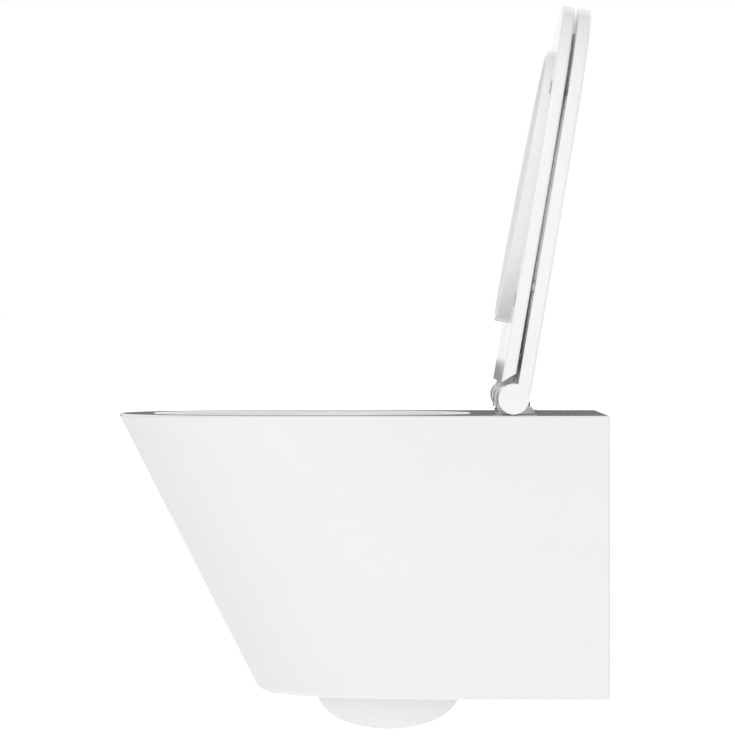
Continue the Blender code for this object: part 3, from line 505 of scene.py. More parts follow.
def turned(profile, along="Z", at=(0, 0, 0), steps=64):
    """A solid of revolution from (radius, height) pairs, with height along the axis."""
    bm = bmesh.new()
    verts = [bm.verts.new((radius, 0, height)) for radius, height in profile]
    pairs = list(zip(verts, verts[1:]))
    if profile[0][0] > 0:
        pairs.append((verts[-1], verts[0]))
    edges = [bm.edges.new(pair) for pair in pairs]
    bmesh.ops.spin(
        bm, geom=verts + edges, cent=(0, 0, 0), axis=(0, 0, 1), angle=math.tau, steps=steps, use_merge=True
    )
    bmesh.ops.remove_doubles(bm, verts=bm.verts, dist=1e-6)
    bmesh.ops.recalc_face_normals(bm, faces=bm.faces)
    bmesh.ops.transform(bm, matrix=Matrix.Translation(at) @ AXES[along], verts=bm.verts)
    return bm


def rod(radius, start, end, along="Z", at=(0, 0, 0), steps=64, edge=0.0):
    profile = [(0, start), (radius, start), (radius, end), (0, end)]
    return turned(softened(profile, edge) if edge else profile, along, at, steps)


def ring(inner, outer, low, high, edge):
    return softened([(inner, low), (outer, low), (outer, high), (inner, high)], edge, 3, whole=True)


def loft(rings):
    """A closed solid through rings with equal numbers of points, its ends filled."""
    bm = bmesh.new()
    base = end = bm.faces.new([bm.verts.new(point) for point in rings[0]])
    for outline in rings[1:]:
        grown = bmesh.ops.extrude_face_region(bm, geom=[end])
        if end is not base:
            bmesh.ops.delete(bm, geom=[end], context="FACES_ONLY")
        end = next(item for item in grown["geom"] if isinstance(item, bmesh.types.BMFace))
        for vert, point in zip(end.verts, outline):
            vert.co = point
    bmesh.ops.recalc_face_normals(bm, faces=bm.faces)
    return bm


def prism(outline, low, high):
    return loft([[(x, y, z) for x, y in outline] for z in (low, high)])


def bar(outline, start, end):
    """An outline in side view (y, z), drawn along X."""
    return loft([[(x, y, z) for y, z in outline] for x in (start, end)])


def arc(radius, start, end, steps):
    angles = [math.radians(start + (end - start) * i / steps) for i in range(steps + 1)]
    return [(radius * math.cos(a), radius * math.sin(a)) for a in angles]


def mix(a, b, share):
    return a + (b - a) * share


def power_arc(half_width, length, power, angle):
    c, s = math.cos(angle), math.sin(angle)
    x = math.copysign(half_width * abs(c) ** (2 / power), c)
    return x, math.copysign(length * abs(s) ** (2 / power), s)


def d_outline(half_width, reach, nose, power, back, steps=96):
    """A D in plan: straight sides forward from the back edge, then a rounded nose."""
    points = [(half_width, -back)]
    for i in range(steps + 1):
        x, forward = power_arc(half_width, nose, power, math.pi * i / steps)
        points.append((x, -(reach - nose) - abs(forward)))
    points.append((-half_width, -back))
    return points


def egg(front, back, half_width, power, steps=112):
    middle, half_length = (front + back) / 2, (front - back) / 2
    points = [power_arc(half_width, half_length, power, math.tau * (i + 0.5) / steps) for i in range(steps)]
    return [(x, y - middle) for x, y in points]


def soften_level(bm, height, width, segments, skip_back=None):
    """Rounds the edges at one height, leaving those along the back if their place is given."""
    edges = []
    for edge in bm.edges:
        level = all(abs(vert.co.z - height) < 1e-6 for vert in edge.verts)
        at_back = skip_back is not None and all(vert.co.y > skip_back - 1e-6 for vert in edge.verts)
        if level and not at_back:
            edges.append(edge)
    bmesh.ops.bevel(
        bm, geom=edges, offset=width, segments=segments, profile=0.5, material=-1, affect="EDGES",
        clamp_overlap=True,
    )
    return bm


def tube(points, radii, sides, steps, smooth=True):
    """A solid tube along a path."""
    curve = bpy.data.curves.new("path", "CURVE")
    curve.dimensions = "3D"
    curve.bevel_depth = 1.0
    curve.bevel_resolution = sides // 4 - 1
    curve.use_fill_caps = True
    curve.resolution_u = steps
    spline = curve.splines.new("BEZIER" if smooth else "POLY")
    knots = spline.bezier_points if smooth else spline.points
    knots.add(len(points) - 1)
    for knot, point, radius in zip(knots, points, radii):
        knot.co = point if smooth else (*point, 1)
        knot.radius = radius
        if smooth:
            knot.handle_left_type = "AUTO"
            knot.handle_right_type = "AUTO"
    guide = bpy.data.objects.new("path", curve)
    bpy.context.scene.collection.objects.link(guide)
    bpy.context.view_layer.update()
    mesh = bpy.data.meshes.new_from_object(guide.evaluated_get(bpy.context.evaluated_depsgraph_get()))
    bm = bmesh.new()
    bm.from_mesh(mesh)
    bpy.data.objects.remove(guide)
    bpy.data.meshes.remove(mesh)
    bmesh.ops.remove_doubles(bm, verts=bm.verts, dist=1e-6)
    bmesh.ops.recalc_face_normals(bm, faces=bm.faces)
    return bm


# Pan


def pan_ring(drop, inset, back):
    rim = d_outline(HALF - inset, PAN_LENGTH - inset, PAN_NOSE - inset, 2.25, back)
    foot = d_outline(FOOT_HALF - inset, FOOT_LENGTH - inset, FOOT_NOSE - inset, 2.6, back)
    share = drop / PAN_DEPTH
    return [(mix(a[0], b[0], share), mix(a[1], b[1], share), RIM - drop) for a, b in zip(rim, foot)]


def pan_outside():
    bm = loft([pan_ring(PAN_DEPTH, 0, 0), pan_ring(0, 0, 0)])
    soften_level(bm, RIM, RIM_EDGE, 6, 0)
    soften_level(bm, RIM - PAN_DEPTH, FOOT_EDGE, 6, 0)
    back = [edge for edge in bm.edges if all(abs(vert.co.y) < 1e-6 for vert in edge.verts)]
    bmesh.ops.bevel(bm, geom=back, offset=BACK_EDGE, segments=3, profile=0.5, material=-1, affect="EDGES")
    return bm


def bowl_outline(drop, grow):
    """The bowl's plan outline at a depth below the rim."""
    t = min(1, drop / BOWL_DEPTH)
    ahead = 1 - t**1.3
    behind = (1 - t**2) ** 0.5
    beside = (1 - t**2.2) ** 0.6
    outline = egg(
        mix(SUMP_CENTRE + SUMP_RADIUS, BOWL_FRONT, ahead) + grow,
        mix(SUMP_CENTRE - SUMP_RADIUS, BOWL_BACK, behind) - grow,
        mix(SUMP_RADIUS, BOWL_HALF, beside) + grow,
        mix(2.0, 2.4, beside),
    )
    return outline


def bowl_inside(steps=30):
    """The bowl's hollow, its mouth rolled over into the rim."""
    rings = [[(x, y, RIM + PAST) for x, y in bowl_outline(0, MOUTH_EDGE)]]
    roll = 6
    for i in range(roll):
        a = math.pi / 2 * i / roll
        drop = MOUTH_EDGE * (1 - math.cos(a))
        rings.append([(x, y, RIM - drop) for x, y in bowl_outline(drop, MOUTH_EDGE * (1 - math.sin(a)))])
    for i in range(steps + 1):
        drop = MOUTH_EDGE + (BOWL_DEPTH - MOUTH_EDGE) * math.sin(math.pi / 2 * i / steps)
        rings.append([(x, y, RIM - drop) for x, y in bowl_outline(drop, 0)])
    return loft(rings)


def bowl_outside(steps=10):
    rings = []
    for i in range(steps + 1):
        t = math.sin(math.pi / 2 * i / steps)
        drop = t * (BOWL_DEPTH + WALL)
        rings.append([(x, y, RIM - max(drop, 0.002)) for x, y in bowl_outline(t * BOWL_DEPTH, WALL)])
    return loft(rings)


def trap(wall, bore_end, last):
    """The trap's passage: down from the sump, round the bend, over the weir and out."""
    route = [
        (SUMP_CENTRE, BOWL_DEPTH - TRAP_BORE, TRAP_BORE),
        (SUMP_CENTRE, BOWL_DEPTH + TRAP_DIP, TRAP_BORE),
        (BEND_CENTRE, TRAP_BOTTOM, TRAP_BORE),
        (LIMB_FOOT, BOWL_DEPTH + TRAP_DIP, TRAP_BORE),
        (LIMB_TOP, WEIR_DROP + LIMB_DROP, TRAP_BORE),
        (WEIR_CENTRE, WEIR_DROP, TRAP_BORE + WEIR_WIDER),
        (OUTLET_BEND, RIM - OUTLET[2], bore_end),
        (last, RIM - OUTLET[2], bore_end),
    ]
    points = [(0, -y, RIM - drop) for y, drop, _ in route]
    return tube(points, [bore + wall for *_, bore in route], 40, 6)


def bulge():
    bm = bmesh.new()
    bmesh.ops.create_uvsphere(bm, u_segments=72, v_segments=36, radius=1)
    bmesh.ops.scale(bm, vec=BULGE, verts=bm.verts)
    bmesh.ops.translate(bm, vec=(0, -BEND_CENTRE, RIM - TRAP_BOTTOM), verts=bm.verts)
    return bm


def make_pan():
    china = solid("cast_pan", pan_outside())
    cut(china, loft([pan_ring(PAN_DEPTH - WALL, WALL, REAR_PLATE), pan_ring(DECK, WALL, REAR_PLATE)]))
    half = HALF - REAR_FLANGE
    cut(china, block((-half, -REACH_IN, RIM - PAN_DEPTH - 2 * PAST), (half, 2 * PAST, PLATE_FOOT)))
    join(
        china,
        bulge(),
        bowl_outside(),
        trap(WALL, SPIGOT_RADIUS - WALL, SPIGOT_SETBACK),
        rod(INLET_BORE + INLET_WALL, -FLUSH_START - INLET_WALL, -REAR_PLATE / 2, "Y", INLET),
        rod(FLUSH_BORE + INLET_WALL, -BOWL_BACK, -FLUSH_START, "Y", INLET),
    )
    slot_x, slot_z = FLUSH_SLOT[0] / 2, FLUSH_SLOT[1] / 2
    slot_start = BOWL_BACK - 2 * WALL
    cut(
        china,
        bowl_inside(),
        trap(0, OUTLET_BORE, -2 * PAST),
        rod(INLET_BORE, -INLET_DEPTH, 2 * PAST, "Y", INLET),
        rod(FLUSH_BORE, -slot_start, -INLET_DEPTH + PAST, "Y", INLET),
        block(
            (-slot_x, -BOWL_BACK - 2 * PAST, INLET[2] - slot_z),
            (slot_x, -slot_start, INLET[2] + slot_z),
            SLOT_EDGE,
        ),
    )
    for side in SIDES.values():
        low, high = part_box("wall_stud_right" if side > 0 else "wall_stud_left")
        cut(china, rod(STUD_HOLE, -REAR_PLATE - PAST, PAST, "Y", ((low.x + high.x) / 2, 0, 0), 48))
        cut(china, rod(DECK_HOLE, -DECK - PAST, PAST, "Z", (side * POST_X, POST_Y, RIM), 48))
    fit(china, CHINA[0], others=CHINA[1:])


# Connections and wall fixings


def round_box(node, along):
    """A round node's axis point, radius, and where it starts and ends along its axis."""
    low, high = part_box(node)
    axis = "XYZ".index(along)
    at = (low + high) / 2
    at[axis] = 0
    radius = max((high[i] - low[i]) / 2 for i in range(3) if i != axis)
    return at, radius, low[axis], high[axis]


def make_ring(how, node, along, bore, edge, grooves=0):
    """A ring in its node's place, with grooves round a rubber one's outside."""
    at, radius, start, end = round_box(node, along)
    if not grooves:
        profile = ring(bore, radius, start, end, edge)
    else:
        pitch = (end - start) / grooves
        outside = []
        for i in range(grooves):
            outside += [(radius - RIB_DEPTH, start + pitch * i), (radius, start + pitch * (i + 0.5))]
        outside.append((radius - RIB_DEPTH, end))
        profile = [(bore, start), *outside, (bore, end)]
    fit(solid(f"{how}_{node}", turned(profile, along, at, 96)), node)


def make_connections():
    make_ring("moulded", "inlet_pipe", "Y", FLUSH_BORE, PIPE_EDGE)
    make_ring("moulded", "inlet_seal", "Y", FLUSH_BORE + INLET_SEAL_WALL, 0, INLET_RIBS)
    make_ring("moulded", "outlet_seal", "Y", SPIGOT_RADIUS + 2 * GAP, 0, OUTLET_RIBS)
    at, radius, start, end = round_box("outlet_socket", "Y")
    inside, step = radius - SOCKET_WALL, -SPIGOT_SETBACK + GAP
    profile = [
        (OUTLET_BORE, step),
        (OUTLET_BORE, end),
        (radius, end),
        (radius, end - SOCKET_BEAD),
        (radius - RIB_DEPTH, end - SOCKET_BEAD),
        (radius - RIB_DEPTH, start + SOCKET_BEAD),
        (radius, start + SOCKET_BEAD),
        (radius, start),
        (inside, start),
        (inside, step),
    ]
    socket = turned(softened(profile, SOCKET_EDGE, 3, whole=True), "Y", at, 112)
    fit(solid("moulded_outlet_socket", socket), "outlet_socket")


def threaded(radius, start, end, pitch, depth):
    """A bar's profile with a groove at each turn of its thread."""
    profile = [(0, start), (radius - depth, start)]
    count = int((end - start) / pitch)
    first = end - count * pitch
    for i in range(count):
        profile += [(radius - depth, first + pitch * i), (radius, first + pitch * (i + 0.5))]
    return [*profile, (radius - depth, end), (0, end)]


def hexagon_nut(node, along, bore):
    at, radius, start, end = round_box(node, along)
    nut = solid(f"forged_{node}", rod(radius, start, end, along, at, 6))
    chamfer = NUT_CHAMFER * radius
    cap = radius + chamfer
    slope = 2 * chamfer * math.tan(math.radians(30))
    crown = [
        (0, start),
        (cap - 2 * chamfer, start),
        (cap, start + slope),
        (cap, end - slope),
        (cap - 2 * chamfer, end),
        (0, end),
    ]
    combine(nut, turned(crown, along, at, 72), "INTERSECT")
    eye = [(0, start - PAST), (bore, start - PAST), (bore, end + PAST), (0, end + PAST)]
    cut(nut, turned(eye, along, at, 48))
    fit(nut, node, degrees=25)


def make_wall_fixing(name):
    node = f"wall_stud_{name}"
    at, radius, start, end = round_box(node, "Y")
    # the thread is drawn as rings
    thread = threaded(radius, start, end, STUD_PITCH, STUD_THREAD)
    fit(solid(f"threaded_{node}", turned(thread, "Y", at, 48)), node, degrees=50)
    node = f"stud_sleeve_{name}"
    at, flange, start, end = round_box(node, "Y")
    bore, barrel, flange_back = radius + GAP, radius + SLEEVE_WALL, start + SLEEVE_FLANGE
    profile = [
        (bore, end),
        (barrel, end),
        (barrel, flange_back),
        (flange, flange_back),
        (flange, start),
        (bore, start),
    ]
    fit(solid(f"moulded_{node}", turned(softened(profile, SLEEVE_EDGE, 3, whole=True), "Y", at)), node)
    make_ring("pressed", f"stud_washer_{name}", "Y", bore, WASHER_EDGE)
    hexagon_nut(f"stud_nut_{name}", "Y", bore)


# Hinge sets


def make_hinge_base(name, side):
    """Disc and grooved post above the deck; bush, washers and wing nut below it."""
    node = f"hinge_disc_{name}"
    at, radius, low, high = round_box(node, "Z")
    foot_edge, top_edge = DISC_EDGES
    profile = [
        (SHANK_BORE, low),
        (radius - foot_edge, low),
        (radius, low + foot_edge),
        (radius, high - top_edge),
    ]
    profile += [(radius - top_edge + x, high - top_edge + y) for x, y in arc(top_edge, 10, 90, 6)]
    profile.append((SHANK_BORE, high))
    fit(solid(f"turned_{node}", turned(profile, "Z", at, 128)), node)

    node = f"hinge_post_{name}"
    at, _, low, high = round_box(node, "Z")
    foot = RIM + POST_FOOT
    wide, tall = SHOULDER
    profile = [
        (0, low),
        (SHANK_RADIUS, low),
        (SHANK_RADIUS, foot),
        (wide, foot),
        (wide, foot + tall),
        (POST_RADIUS, foot + tall),
        (POST_RADIUS, RIM + GROOVE[0]),
        (GROOVE_RADIUS, RIM + GROOVE[0]),
        (GROOVE_RADIUS, RIM + GROOVE[1]),
        (POST_RADIUS, RIM + GROOVE[1]),
        (POST_RADIUS - POST_TIP, high),
        (0, high),
    ]
    fit(solid(f"turned_{node}", turned(softened(profile, POST_EDGE, 3), "Z", at, 48)), node)

    node = f"eccentric_bush_{name}"
    low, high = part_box(node)
    post = (side * POST_X, POST_Y, 0)
    neck_edge, flange_edge = BUSH_EDGES
    aside = (post[0], post[1] + BUSH_OFFSET, 0)
    bush = solid(f"moulded_{node}", rod(BUSH_RADIUS, low.z + BUSH_FOOT, high.z, "Z", aside, 48, neck_edge))
    join(bush, rod(BUSH_FLANGE[0], low.z, low.z + BUSH_FLANGE[1], "Z", post, 72, flange_edge))
    cut(bush, rod(SHANK_BORE, low.z - PAST, high.z + PAST, "Z", post, 48))
    fit(bush, node)

    make_ring("moulded", f"fixing_rubber_{name}", "Z", SHANK_BORE, RUBBER_EDGE)
    make_ring("pressed", f"fixing_washer_{name}", "Z", SHANK_BORE, SEAT_WASHER_EDGE)
    node = f"fixing_nut_{name}"
    low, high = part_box(node)
    nut = solid(f"moulded_{node}", rod(NUT_RADIUS, low.z, high.z, "Z", post, 64, NUT_EDGE))
    thick, foot, top = WING
    join(nut, block(
        (low.x, post[1] - thick / 2, low.z + foot),
        (high.x, post[1] + thick / 2, low.z + top),
        NUT_EDGE,
    ))
    cut(nut, rod(SHANK_BORE, low.z - PAST, high.z + PAST, "Z", post, 48))
    fit(nut, node)


def end_x(end, t):
    """Distance from the middle for a depth t out of a block pocket, at its lid end or its seat end."""
    return BLOCK_OUT - POCKET + t if end == "lid" else BLOCK_IN + POCKET - t


def x_span(side, end, start, stop):
    return sorted(side * end_x(end, t) for t in (start, stop))


def make_hinge_block(name, side, damped):
    node = f"hinge_block_{name}"
    y, z = HINGE_AXIS.y, HINGE_AXIS.z
    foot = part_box(node)[0].z - z
    outline = arc(BLOCK_RADIUS, 0, 180, 40) + [(-BLOCK_RADIUS, foot), (BLOCK_RADIUS, foot)]
    shell = bar([(py + y, pz + z) for py, pz in outline], *sorted((side * BLOCK_IN, side * BLOCK_OUT)))
    ends = [edge for edge in shell.edges if abs(edge.verts[0].co.x - edge.verts[1].co.x) < 1e-7]
    bmesh.ops.bevel(shell, geom=ends, offset=BLOCK_EDGE, segments=4, profile=0.5, material=-1, affect="EDGES")
    housing = solid(f"moulded_{node}", shell)
    for end in ("lid", "seat"):
        radius = DAMPER_RADIUS if end == damped else SHAFT_RADIUS
        cut(housing, rod(radius + GAP, *x_span(side, end, 0, POCKET + 0.005), "X", (0, y, z), 48))
    x = side * POST_X
    post = (x, POST_Y, RIM)
    low, high = GROOVE[0] + GAP, GROOVE[1] - GAP
    channel = POST_RADIUS + GAP + LATCH_ARM + 2 * GAP
    front = LATCH_FRONT + TRAVEL + GAP
    middle = RIM + (low + high) / 2
    spring_bore = SPRING_RADIUS + SPRING_WIRE + 2 * GAP
    cut(
        housing,
        rod(POST_RADIUS + 2 * GAP, 0, POST_HOLE, "Z", post, 48),
        rod(SHOULDER_HOLE[0], 0, SHOULDER_HOLE[1], "Z", post, 48),
        block(
            (x - channel, POST_Y - front, RIM + low - GAP),
            (x + channel, POST_Y + 2 * PAST, RIM + high + GAP),
        ),
        rod(spring_bore, -SPRING_SEAT - GAP, -POST_RADIUS, "Y", (x, POST_Y, middle), 32),
    )
    fit(housing, node)


def make_release_latch(name, side):
    """Push button with the fork that grips the post's groove, and the spring in front of it."""
    x = side * POST_X
    low, high = RIM + GROOVE[0] + 2 * GAP, RIM + GROOVE[1] - 2 * GAP
    half = POST_RADIUS + GAP + LATCH_ARM
    head = HINGE_AXIS.y + BLOCK_RADIUS + TRAVEL + GAP
    wide, thick, tall = BUTTON
    middle = (low + high) / 2
    node = f"release_button_{name}"
    fork = block((x - half, POST_Y - LATCH_FRONT, low), (x + half, head + thick / 2, high))
    latch = solid(f"moulded_{node}", fork)
    join(latch, block(
        (x - wide / 2, head, middle - tall / 2),
        (x + wide / 2, head + thick, middle + tall / 2),
        BUTTON_EDGE,
        4,
    ))
    eye, behind = POST_RADIUS + GAP, POST_RADIUS + TRAVEL + GAP
    cut(latch, block((x - eye, POST_Y - LATCH_GRIP, low - PAST), (x + eye, POST_Y + behind, high + PAST)))
    fit(latch, node)

    start, stop = -SPRING_SEAT, -LATCH_FRONT - GAP - SPRING_WIRE
    count = SPRING_TURNS * 24
    points = []
    for i in range(count + 1):
        turn = math.tau * SPRING_TURNS * i / count
        points.append((
            x + SPRING_RADIUS * math.cos(turn),
            POST_Y + mix(start + SPRING_WIRE, stop, i / count),
            middle + SPRING_RADIUS * math.sin(turn),
        ))
    coil = tube(points, [SPRING_WIRE] * len(points), 12, 1, smooth=False)
    spring = fit(solid(f"wound_button_spring_{name}", coil), f"button_spring_{name}", degrees=70)
    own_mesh(spring)


def make_damper(name, side, end):
    """Cup and cap of a rotary damper, set in a block's pocket."""
    at = (0, HINGE_AXIS.y, HINGE_AXIS.z)
    depth = POCKET - CAP_THICK - 3 * GAP
    inside = DAMPER_RADIUS - DAMPER_WALL
    node = f"{name}_damper_body"
    shape = rod(DAMPER_RADIUS, *x_span(side, end, GAP, depth), "X", at, 64, DAMPER_EDGE)
    cup = solid(f"moulded_{node}", shape)
    cut(cup, rod(inside, *x_span(side, end, GAP + DAMPER_WALL, depth + PAST), "X", at))
    fit(cup, node)
    node = f"{name}_damper_cap"
    shape = rod(DAMPER_RADIUS, *x_span(side, end, depth + GAP, POCKET - GAP), "X", at, 64, DAMPER_EDGE)
    cap = solid(f"moulded_{node}", shape)
    cut(cap, rod(SHAFT_RADIUS + GAP, *x_span(side, end, 0, POCKET + PAST), "X", at))
    fit(cap, node)


def double_d(grow):
    """Side outline of a shaft with two flats."""
    radius, flat = SHAFT_RADIUS + grow, SHAFT_FLAT + grow
    reach = math.degrees(math.asin(flat / radius))
    return arc(radius, -reach, reach, 14) + arc(radius, 180 - reach, 180 + reach, 14)


def make_shaft(node, side, end, damped):
    """Round in the block, two flats in the lid or the seat, and a vane where it turns in a damper."""
    start = GAP + DAMPER_WALL + GAP if damped else 2 * GAP
    grip = POCKET + SIDE_GAP / 2
    shaft = solid(f"turned_{node}", bar(double_d(0), *x_span(side, end, grip, SHAFT_END - GAP)))
    join(shaft, rod(SHAFT_RADIUS, *x_span(side, end, start, grip + GAP / 2), "X", steps=48))
    if damped:
        vane = x_span(side, end, start, POCKET - CAP_THICK - 5 * GAP)
        inside = DAMPER_RADIUS - DAMPER_WALL - 2 * GAP
        join(shaft, block((vane[0], -inside, -VANE / 2), (vane[1], inside, VANE / 2)))
    fit(shaft, node, RAISED)


# Seat and lid, made closed about the hinge axis, then raised


def plate_outline(inset, back):
    return d_outline(HALF - inset, SEAT_REACH - inset, PLATE_NOSE - inset, 2.25, back)


def grip_bore(side, end):
    return bar(double_d(GAP), *x_span(side, end, POCKET + GAP, SHAFT_END))


def opening_outline(grow):
    return egg(SEAT_FRONT + grow, SEAT_BACK - grow, OPENING_HALF + grow, 2.3)


def lip_foot(y):
    """How low the lip hangs at a distance from the axis."""
    front, back = SEAT_FRONT + LIP_WALL, SEAT_BACK - LIP_WALL
    share = min(1, max(0, (-y - back) / (front - back)))
    return SEAT_BOTTOM - mix(LIP_BACK, LIP_FRONT, share)


def seat_lip():
    """The rim of the opening drawn down, its foot sloping from front to back, its outer edge rounded."""
    rings = [[(x, y, SEAT_BOTTOM + 0.004) for x, y in opening_outline(LIP_WALL)]]
    steps = 5
    for i in range(steps + 1):
        a = math.pi / 2 * i / steps
        outline = opening_outline(LIP_WALL - LIP_EDGE * (1 - math.cos(a)))
        rings.append([(x, y, lip_foot(y) + LIP_EDGE * (1 - math.sin(a))) for x, y in outline])
    return loft(rings)


def seat_hollow():
    """The opening, rolled over at the seat's top."""
    rings = [[(x, y, -0.1) for x, y in opening_outline(0)]]
    steps = 6
    for i in range(steps + 1):
        a = math.pi / 2 * i / steps
        z = SEAT_TOP - OPENING_EDGE * (1 - math.sin(a))
        rings.append([(x, y, z) for x, y in opening_outline(OPENING_EDGE * (1 - math.cos(a)))])
    rings.append([(x, y, 0.1) for x, y in opening_outline(OPENING_EDGE)])
    return loft(rings)


def make_buffers(name, plate, under, pads):
    """Four domed pads under a plate, each with a stem in a blind hole."""
    stem, depth = PAD_STEM
    gap, radius = pads["gap"], pads["radius"]
    for corner, x, y in pad_places(pads):
        cut(plate, rod(stem + GAP, under - PAST, under + depth + GAP, "Z", (x, y, 0), 32))
        foot = under - gap + GAP
        turns = [math.pi / 2 * i / 8 for i in range(9)]
        dome = [(radius * math.sin(a), foot + (gap - 2 * GAP) * 0.6 * (1 - math.cos(a))) for a in turns]
        top = under + depth
        profile = [*dome, (radius, under - GAP), (stem, under - GAP), (stem, top), (0, top)]
        node = f"{name}_{corner}"
        fit(solid(f"moulded_{node}", turned(profile, "Z", (x, y, 0), 48)), node, RAISED)


def pad_places(pads):
    """The name and place of each pad: two near the tip and two near the hinge."""
    for row, reach in (("front", SEAT_REACH - PAD_TO_TIP), ("rear", pads["reach"])):
        for name, side in SIDES.items():
            yield f"{row}_{name}", side * pads[row], -reach


def make_seat():
    """Ring with its back edge bevelled clear of the lid's roll, an inner lip and two hinge lugs."""
    plate = prism(plate_outline(0, SEAT_START), SEAT_BOTTOM, SEAT_TOP)
    soften_level(plate, SEAT_TOP, TOP_EDGE, 6, -SEAT_START)
    soften_level(plate, SEAT_BOTTOM, SEAT_FOOT_EDGE, 5, -SEAT_START)
    seat = solid("moulded_seat_ring", plate)
    thick = SEAT_TOP - SEAT_BOTTOM
    high = SEAT_START + SEAT_BEVEL * (1 + PAST / thick)
    low = SEAT_START - SEAT_BEVEL * PAST / thick
    over, under = SEAT_TOP + PAST, SEAT_BOTTOM - PAST
    cut(seat, bar([(-high, over), (-low, under), (0, under), (0, over)], -HALF - PAST, HALF + PAST))
    join(seat, seat_lip())
    cut(seat, seat_hollow())
    for side in SIDES.values():
        lug = sorted((side * LUG_IN, side * LUG_OUT))
        root = -SEAT_START - SEAT_BEVEL - LUG_ROOT
        join(seat, block((lug[0], root, SEAT_BOTTOM + LUG_INSET), (lug[1], 0, SEAT_TOP - LUG_INSET)))
        join(seat, rod(LUG_RADIUS, *lug, "X", steps=96, edge=LUG_EDGE))
        cut(seat, grip_bore(side, "seat"))
    make_buffers("seat_buffer", seat, SEAT_BOTTOM, SEAT_PADS)
    fit(seat, "seat_ring", RAISED, others=("seat_lip",))


def recess():
    """The shallow panel in the lid's underside, with a rounded inner edge."""
    rings = [[(x, y, LID_BOTTOM - PAST) for x, y in plate_outline(LID_BORDER, RECESS_BACK)]]
    steps = 5
    for i in range(steps + 1):
        a = math.pi / 2 * i / steps
        inset = LID_BORDER + RECESS_EDGE * (1 - math.cos(a))
        z = LID_BOTTOM + LID_RECESS - RECESS_EDGE * (1 - math.sin(a))
        back = RECESS_BACK + RECESS_EDGE * (1 - math.cos(a))
        rings.append([(x, y, z) for x, y in plate_outline(inset, back)])
    return loft(rings)


def make_lid():
    """Slim plate with a recessed underside and a full-width roll, notched for the hinge blocks and lugs."""
    plate = prism(plate_outline(0, 0), LID_BOTTOM, ROLL_RADIUS)
    soften_level(plate, ROLL_RADIUS, TOP_EDGE, 6, 0)
    soften_level(plate, LID_BOTTOM, LID_FOOT_EDGE, 5, 0)
    lid = solid("moulded_lid", plate)
    join(lid, rod(ROLL_RADIUS, -HALF, HALF, "X", steps=128, edge=0.001))
    cut(lid, recess())
    for side in SIDES.values():
        notch = sorted((side * MIDDLE_ROLL, side * OUTER_ROLL))
        cut(lid, block((notch[0], -SWEEP_RADIUS, -0.035), (notch[1], 0.035, 0.035)))
        cut(lid, grip_bore(side, "lid"))
    make_buffers("lid_buffer", lid, LID_BOTTOM, LID_PADS)
    fit(lid, "lid", RAISED)


# Room, light and camera


def make_floor():
    """Pale and even, a little brighter to the eye than the light it gives."""
    bm = bmesh.new()
    bmesh.ops.create_grid(bm, x_segments=1, y_segments=1, size=30)
    bmesh.ops.translate(bm, vec=(0, 0, RIM - RIM_ABOVE_FLOOR), verts=bm.verts)
    floor = solid("floor", bm)
    made, tree, shader, place = new_finish("pale_floor", {
        "Roughness": 0.9, "Specular IOR Level": 0.1, "Emission Color": (1, 1, 1, 1),
    })
    shader.inputs["Base Color"].default_value = linear("#E6E6E6")
    seen = add(tree, "LightPath").outputs["Is Camera Ray"]
    glow = add(tree, "Mix", {"data_type": "FLOAT"}, {0: seen, 2: 0.38, 3: 0.75})
    tree.links.new(glow.outputs[0], shader.inputs["Emission Strength"])
    floor.data.materials.append(made)


def light_sky():
    """White light from above, brightest from the right, dark below the horizon, plain white to the eye."""
    world = bpy.data.worlds.new("studio")
    bpy.context.scene.world = world
    world.use_nodes = True
    tree = world.node_tree
    back = tree.nodes["Background"]
    way = add(tree, "SeparateXYZ", None, {"Vector": add(tree, "TexCoord").outputs["Generated"]})
    right = add(tree, "MapRange", None, {
        "Value": way.outputs["X"], "From Min": -1.0, "From Max": 1.0, "To Min": 0.50, "To Max": 0.78,
    }).outputs["Result"]
    front = add(tree, "MapRange", None, {
        "Value": way.outputs["Y"], "From Min": -1.0, "From Max": 0.2, "To Min": 0.70, "To Max": 1.0,
    }).outputs["Result"]
    high = add(tree, "Math", {"operation": "MULTIPLY"}, {0: right, 1: front}).outputs[0]
    risen = add(tree, "MapRange", {"interpolation_type": "SMOOTHSTEP"}, {
        "Value": way.outputs["Z"], "From Min": -0.02, "From Max": 0.02, "To Min": 0.0, "To Max": 1.0,
    }).outputs["Result"]
    sky = add(tree, "Mix", {"data_type": "FLOAT"}, {0: risen, 2: 0.12, 3: high}).outputs[0]
    seen = add(tree, "LightPath").outputs["Is Camera Ray"]
    strength = add(tree, "Mix", {"data_type": "FLOAT"}, {0: seen, 2: sky, 3: 1.0})
    tree.links.new(strength.outputs[0], back.inputs["Strength"])
    back.inputs["Color"].default_value = (1, 1, 1, 1)


def softbox(name, place, aim, size, power):
    light = bpy.data.lights.new(name, "AREA")
    light.shape = "SQUARE"
    light.size = size
    light.energy = power
    lamp = bpy.data.objects.new(name, light)
    bpy.context.scene.collection.objects.link(lamp)
    lamp.location = place
    lamp.rotation_euler = (Vector(aim) - Vector(place)).to_track_quat("-Z", "Y").to_euler()


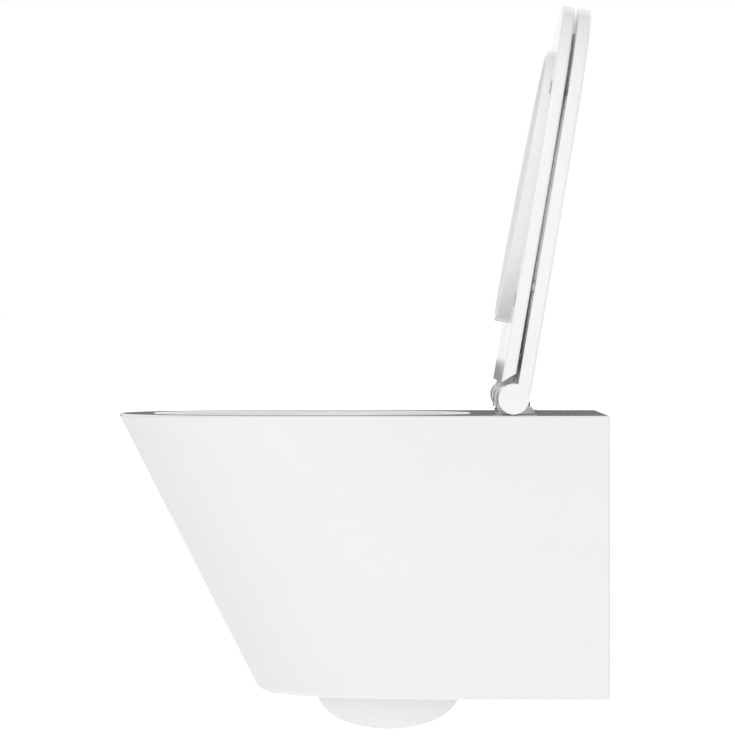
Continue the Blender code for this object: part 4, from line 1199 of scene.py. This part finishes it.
def reflector(name, far, low, high, glow):
    """A card standing beyond the pan, which only reflections see."""
    bm = bmesh.new()
    bmesh.ops.create_grid(bm, x_segments=1, y_segments=1, size=1)
    size = Matrix.Diagonal((1, CARD_REACH, (high - low) / 2, 1))
    place = Matrix.Translation((-far, 0, (low + high) / 2))
    bmesh.ops.transform(bm, matrix=place @ size @ AXES["X"], verts=bm.verts)
    card = solid(name, bm)
    made = bpy.data.materials.new(name)
    made.use_nodes = True
    shader = made.node_tree.nodes["Principled BSDF"]
    shader.inputs["Base Color"].default_value = linear("#101010")
    shader.inputs["Roughness"].default_value = 0.9
    shader.inputs["Emission Color"].default_value = (1, 1, 1, 1)
    shader.inputs["Emission Strength"].default_value = glow
    card.data.materials.append(made)
    card.visible_camera = card.visible_diffuse = card.visible_shadow = card.visible_transmission = False


def set_camera():
    """A long lens square to the pan's side, a little above the rim and tipped down to it."""
    lens = bpy.data.cameras.new("camera")
    lens.lens = 250
    lens.sensor_width = 36
    lens.clip_end = 100
    camera = bpy.data.objects.new("camera", lens)
    bpy.context.scene.collection.objects.link(camera)
    camera.location = CAMERA_PLACE
    camera.rotation_euler = (math.radians(90 - CAMERA_DIP), 0, math.radians(90))
    bpy.context.scene.camera = camera


set_camera()
make_pan()
make_connections()
for side_name, side_sign in SIDES.items():
    make_wall_fixing(side_name)
    make_hinge_base(side_name, side_sign)
    make_hinge_block(side_name, side_sign, "lid" if side_name == "right" else "seat")
    make_release_latch(side_name, side_sign)
make_damper("lid", SIDES["right"], "lid")
make_damper("seat", SIDES["left"], "seat")
make_shaft("lid_rotor", SIDES["right"], "lid", True)
make_shaft("lid_pin", SIDES["left"], "lid", False)
make_shaft("seat_rotor", SIDES["left"], "seat", True)
make_shaft("seat_pin", SIDES["right"], "seat", False)
make_seat()
make_lid()
make_floor()
light_sky()
reflector("black_card", CARD_FAR, RIM - CARD_FOOT, RIM + CARD_SPLIT, 0.09)
reflector("white_card", CARD_FAR, RIM + CARD_SPLIT, RIM + CARD_TOP, 1.0)
softbox("key", (3.0, -1.2, 2.6), (0, -0.25, 0.1), 2.4, 38)
softbox("front", (-0.6, -2.0, 3.2), (0, -0.1, 0.3), 2.0, 2)
bpy.context.scene.view_settings.view_transform = "Standard"
